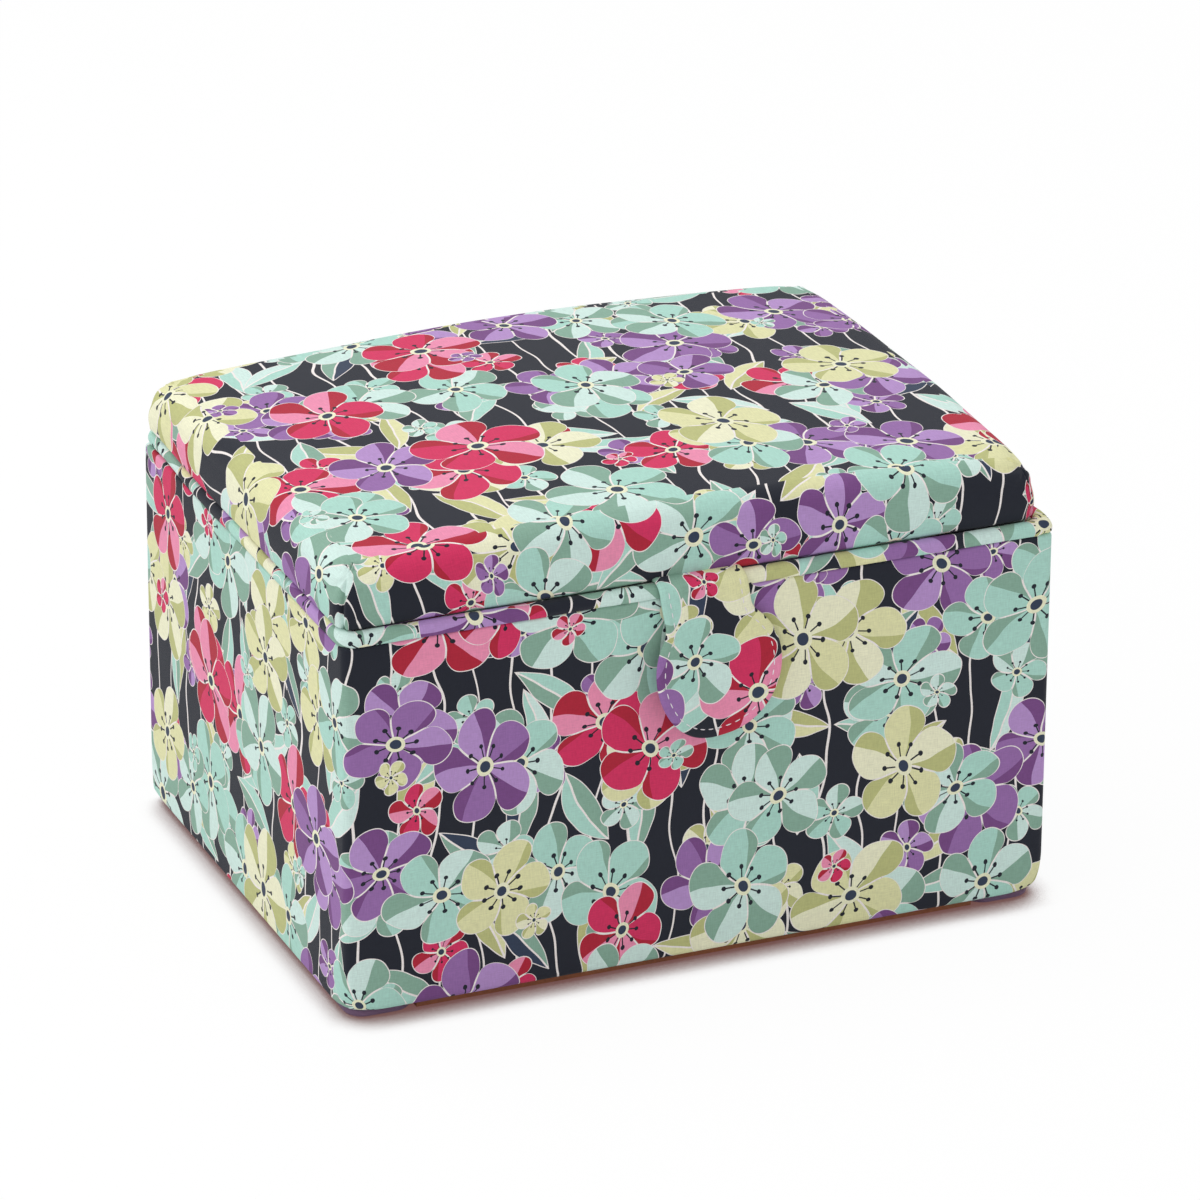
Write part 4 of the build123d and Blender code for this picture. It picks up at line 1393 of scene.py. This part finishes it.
def wrapped_lining(node, facing):
    low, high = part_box(node)
    world, (width, height), thickness = facing_matrix(low, high, facing)
    room = LINING_ROOM
    outline = [(room, room), (width - room, room), (width - room, height - room), (room, height - room)]
    bm, uv = cloth_bmesh()
    puff = 0.0 if "rail" in node else LINING_PUFF
    world = world @ Matrix.Translation((0, 0, room))
    wrap_board(bm, uv, outline, thickness - 2 * room - puff, BOARD_EDGE, puff, world)
    piece = add_piece("wrapped_" + node, finish_mesh(node, bm, FINE_WELD), LINING, "box")
    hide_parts(node)
    return piece


print("linings:", sum(len(wrapped_lining(*item).data.polygons) for item in LINING_FACINGS.items()), "faces")

# %% [markdown]
# The lining of the lid is one padded board, cut away round the two hinge leaves. The corner pads under the
# box are wrapped in plain plum cotton and swell out a little towards the corners. Both could be sculpted, but
# they are wrapped as the boards before them are, so the same function makes them.

# %% Lid lining and corner pads
LID_LINING_PUFF = 0.0012
HINGE_ROOM = 0.0006
FOOT_SIZE = 0.026
FOOT_CORNER = 0.008
FOOT_EDGE = 0.0008
FOOT_PLUMP = 0.002
FOOT_SIDES = (2, 2)
FOOT_CORNER_STEPS = 6
PAD_COTTON = plain_cotton("pad_cotton", ink(118, 90, 117), ink(102, 76, 102))


def lid_lining():
    low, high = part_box("lid_lining")
    world, (width, depth), thickness = facing_matrix(low, high, (0, 0, -1))
    outline = [(0, 0), (width, 0), (width, depth)]
    for node in ("lid_hinge_leaf_right", "lid_hinge_leaf_left"):
        leaf_low, leaf_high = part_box(node)
        near, far = leaf_low.x - HINGE_ROOM - low.x, leaf_high.x + HINGE_ROOM - low.x
        deep = leaf_low.y - HINGE_ROOM - low.y
        outline += [(far, depth), (far, deep), (near, deep), (near, depth)]
    outline += [(0, depth)]
    bm, uv = cloth_bmesh()
    wrap_board(bm, uv, outline, thickness - LID_LINING_PUFF, BOARD_EDGE, LID_LINING_PUFF, world)
    piece = add_piece("wrapped_lid_lining", finish_mesh("lid_lining", bm, FINE_WELD), LINING, "lid")
    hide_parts("lid_lining")
    return piece


def corner_pads():
    low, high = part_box("corner_feet")
    bm, uv = cloth_bmesh()
    half = (FOOT_SIZE + FOOT_PLUMP) / 2
    outline = rounded_ring(half, half, FOOT_CORNER, FOOT_SIDES, FOOT_CORNER_STEPS)
    reach = (high - low) / 2 - Vector((half, half, 0)) + Vector((FOOT_PLUMP, FOOT_PLUMP, 0))
    for x in (-reach.x, reach.x):
        for y in (-reach.y, reach.y):
            place = Matrix.Translation((x, y, high.z)) @ Matrix.Scale(-1, 4, (0, 0, 1))
            wrap_board(bm, uv, outline, high.z - low.z, FOOT_EDGE, 0.0, place)
    pads = add_piece("corner_pads", finish_mesh("corner_pads", bm, FINE_WELD), PAD_COTTON, "box")
    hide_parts("corner_feet")
    return pads


print("lid lining and pads:", len(lid_lining().data.polygons), len(corner_pads().data.polygons))

# %% [markdown]
# The pincushion is sewn to the lid lining by its edge and stuffed. The plain solid is remeshed into even
# small faces and blown up as cloth from within, with its back held flat against the lining, so its sides
# bulge and its corners pull as stuffing makes them. No point may move further than a set cap.

# %% Pincushion
CUSHION = plain_cotton("cushion_cotton", ink(232, 227, 196), ink(214, 207, 170))
CUSHION_VOXEL = 0.003
CUSHION_PRESSURE = 4.0
CUSHION_FRAMES = 20
CUSHION_CAP = 0.004
CUSHION_START = 0.93


def planar_map(mesh):
    """A cloth map for a piece whose cloth lies mostly level."""
    layer = mesh.uv_layers.new(name="cloth")
    for loop in mesh.loops:
        place = mesh.vertices[loop.vertex_index].co
        layer.data[loop.index].uv = (place.x + place.z, place.y + place.z)


def apply_modifiers(piece):
    """Makes what the modifiers show into the piece's own mesh."""
    graph = bpy.context.evaluated_depsgraph_get()
    mesh = bpy.data.meshes.new_from_object(piece.evaluated_get(graph))
    piece.modifiers.clear()
    piece.data = mesh
    return mesh


def stuff(cushion, top):
    """Blows a cushion up as cloth, held where it meets the level top, with no point moved past the cap."""
    rest = [vert.co.copy() for vert in cushion.data.vertices]
    held = cushion.vertex_groups.new(name="held")
    held.add([k for k, place in enumerate(rest) if place.z > top - CUSHION_VOXEL / 2], 1.0, "ADD")
    cloth = cushion.modifiers.new("cloth", "CLOTH")
    cloth.settings.use_pressure = True
    cloth.settings.uniform_pressure_force = CUSHION_PRESSURE
    cloth.settings.vertex_group_mass = "held"
    cloth.settings.effector_weights.gravity = 0
    cloth.point_cache.frame_end = CUSHION_FRAMES
    for step in range(1, CUSHION_FRAMES + 1):
        bpy.context.scene.frame_set(step)
    for vert, start in zip(apply_modifiers(cushion).vertices, rest):
        move = vert.co - start
        vert.co = start + move * min(1.0, CUSHION_CAP / max(move.length, 1e-9))
        vert.co.z = min(vert.co.z, top)
    bpy.context.scene.frame_set(1)


def pincushion():
    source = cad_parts["pincushion"]
    low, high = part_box("pincushion")
    back = Vector(((low.x + high.x) / 2, (low.y + high.y) / 2, high.z))
    mesh = source.data.copy()
    mesh.transform(source.matrix_world)
    mesh.transform(Matrix.Translation(back) @ Matrix.Scale(CUSHION_START, 4) @ Matrix.Translation(-back))
    cushion = add_object("stuffed_cushion", mesh)
    remesh = cushion.modifiers.new("remesh", "REMESH")
    remesh.mode = "VOXEL"
    remesh.voxel_size = CUSHION_VOXEL
    apply_modifiers(cushion)
    stuff(cushion, high.z)
    smooth = cushion.modifiers.new("smooth", "SUBSURF")
    smooth.levels = smooth.render_levels = 1
    mesh = apply_modifiers(cushion)
    planar_map(mesh)
    dress(mesh, CUSHION)
    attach(cushion, "lid")
    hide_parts("pincushion")
    return cushion


print("pincushion:", len(pincushion().data.polygons), "faces")

# %% [markdown]
# The pieces that are hard in the real box keep the meshes of the model and only need materials: moulded
# trays, nickel hinges and screws, the brown base board and the fibreboard inside the walls. Each material has
# the small unevenness that the making leaves. The screws also have painted shade: a dark cross for the shade
# in the cross slot and a dark line round the head for the shadow in the gap at its edge. Cutting those into
# the mesh would cost many faces for a small mark, so they are drawn by distance from each screw's middle.

# %% Hard materials
BRUSH_SCALE = (60.0, 3000.0, 3000.0)
SCREW_SPACING = 0.024
HEAD_RADIUS = 0.0022
HEAD_LINE = 0.0002
CROSS_HALF = 0.0003
CROSS_REACH = 0.0014
# Painted shade: the dark in each screw's cross slot and in the gap round its head
RECESS_SHADE = ink(44, 42, 40)


def hard_material(name, draw):
    """A material whose surface is drawn from places on the piece itself."""
    material, n = new_material(name)
    draw(n, material.node_tree.nodes["Principled BSDF"].inputs, n.node("TexCoord", out=3))
    return material


def moulded_plastic(n, surface, place):
    cloud = n.node("TexNoise", {"Vector": place, "Scale": 60.0, "Detail": 3.0})
    grain = n.node("TexNoise", {"Vector": place, "Scale": 2200.0, "Detail": 1.0})
    n.feed(surface["Base Color"], n.mix(cloud, ink(232, 231, 227), ink(240, 239, 236)))
    n.feed(surface["Roughness"], n.math("MULTIPLY_ADD", cloud, 0.12, 0.32))
    n.feed(surface["Subsurface Weight"], 0.08)
    n.feed(surface["Subsurface Radius"], (0.004, 0.004, 0.004))
    n.feed(surface["Normal"], n.node("Bump", {"Height": grain, "Strength": 0.08, "Distance": 0.0002}))


def nickel(recess_shade=None):
    """Brushed plating, darkened by painted shade where the given mask says so."""

    def draw(n, surface, place):
        drawn = n.vector("MULTIPLY", place, BRUSH_SCALE)
        brush = n.node("TexNoise", {"Vector": drawn, "Detail": 2.0})
        colour = n.mix(brush, ink(196, 192, 184), ink(222, 219, 212))
        n.feed(surface["Base Color"], n.mix(recess_shade(n, place), colour, RECESS_SHADE) if recess_shade else colour)
        n.feed(surface["Metallic"], 1.0)
        n.feed(surface["Roughness"], n.math("MULTIPLY_ADD", brush, 0.16, 0.2))
        n.feed(surface["Normal"], n.node("Bump", {"Height": brush, "Strength": 0.1, "Distance": 0.0001}))

    return draw


def cross_head(node):
    """Painted shade on a node's screw heads, in the cross slot and round the edge: two to a hinge, in one row
    along x.
    """
    low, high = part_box(node)
    row_y = (low.y + high.y) / 2
    hinge_x = high.x - HEAD_RADIUS - SCREW_SPACING / 2

    def recess_shade(n, place):
        x, y, _ = n.split(place)
        from_hinge = n.math("ABSOLUTE", n.math("SUBTRACT", n.math("ABSOLUTE", x), hinge_x))
        across = n.math("ABSOLUTE", n.math("SUBTRACT", from_hinge, SCREW_SPACING / 2))
        along = n.math("ABSOLUTE", n.math("SUBTRACT", y, row_y))
        # Painted shade in the cross slot
        bar = n.math("LESS_THAN", n.math("MINIMUM", across, along), CROSS_HALF)
        cross = n.math("MULTIPLY", bar, n.math("LESS_THAN", n.math("MAXIMUM", across, along), CROSS_REACH))
        squares = n.math("MULTIPLY_ADD", across, across, n.math("MULTIPLY", along, along))
        # Painted shade in the gap round the head
        line = n.math("GREATER_THAN", n.math("SQRT", squares), HEAD_RADIUS - HEAD_LINE)
        return n.math("MAXIMUM", cross, line)

    return recess_shade


def pressed_board(light, dark):
    """Board pressed from fibres, blotched between a light and a dark tone."""

    def draw(n, surface, place):
        fibre = n.node("TexNoise", {"Vector": place, "Scale": 900.0, "Detail": 4.0})
        blotch = n.node("TexNoise", {"Vector": place, "Scale": 70.0, "Detail": 2.0})
        shade = n.math("MULTIPLY_ADD", fibre, 0.7, n.math("MULTIPLY_ADD", blotch, 0.5, -0.1))
        n.feed(surface["Base Color"], n.mix(shade, dark, light))
        n.feed(surface["Roughness"], 0.78)
        n.feed(surface["Normal"], n.node("Bump", {"Height": fibre, "Strength": 0.25, "Distance": 0.0003}))

    return draw


PLASTIC = hard_material("tray_plastic", moulded_plastic)
STEEL = hard_material("hinge_steel", nickel())
HARDBOARD = hard_material("hardboard", pressed_board(ink(150, 88, 54), ink(100, 56, 34)))
FIBREBOARD = hard_material("fibreboard", pressed_board(ink(196, 168, 132), ink(160, 130, 96)))
HARD_NODES = {
    "upper_tray": PLASTIC,
    "lower_tray": PLASTIC,
    "base_board": HARDBOARD,
    "lid_board": FIBREBOARD,
    "bottom_panel": FIBREBOARD,
}
for node in ("box_hinge_screws", "lid_hinge_screws"):
    HARD_NODES[node] = hard_material(node + "_steel", nickel(cross_head(node)))
for piece in ("box_hinge_leaf_", "lid_hinge_leaf_", "hinge_pin_"):
    HARD_NODES.update({piece + side: STEEL for side in ("left", "right")})
for node, material in HARD_NODES.items():
    give_material(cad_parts[node].data, material)
print("hard pieces:", len(HARD_NODES))

# %% [markdown]
# The wall boards are eased at their lower corners as the cloth over them is, or they would come through it.
# A bevel would leave flat facets there. So their meshes are copied, cut into small strips near those corners
# and drawn in by the same rule as the cover.

# %% Eased boards


def eased_board(node):
    """A wall board cut into strips near its lower corners and drawn in there as the cover is."""
    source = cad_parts[node]
    low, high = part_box("body_cover")
    bm = bmesh.new()
    bm.from_mesh(source.data)
    bm.transform(source.matrix_world)
    strips = [k * TUCK_STEP for k in range(1, round(TUCK_REACH / TUCK_STEP) + 1)]
    cuts = [(0, side * (high.x - strip)) for side in (-1, 1) for strip in strips]
    cuts += [(1, side * (high.y - strip)) for side in (-1, 1) for strip in strips]
    cuts += [(2, low.z + strip) for strip in strips]
    for axis, level in cuts:
        cut_across(bm, axis, level)
    for vert in bm.verts:
        vert.co += corner_tuck(vert.co, low, high)
    mesh = bpy.data.meshes.new("eased_" + node)
    bm.to_mesh(mesh)
    bm.free()
    board = add_object("eased_" + node, mesh)
    give_material(mesh, FIBREBOARD)
    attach(board, "box")
    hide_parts(node)
    return board


print("eased boards:", [len(eased_board(node).data.polygons) for node in WALLS])
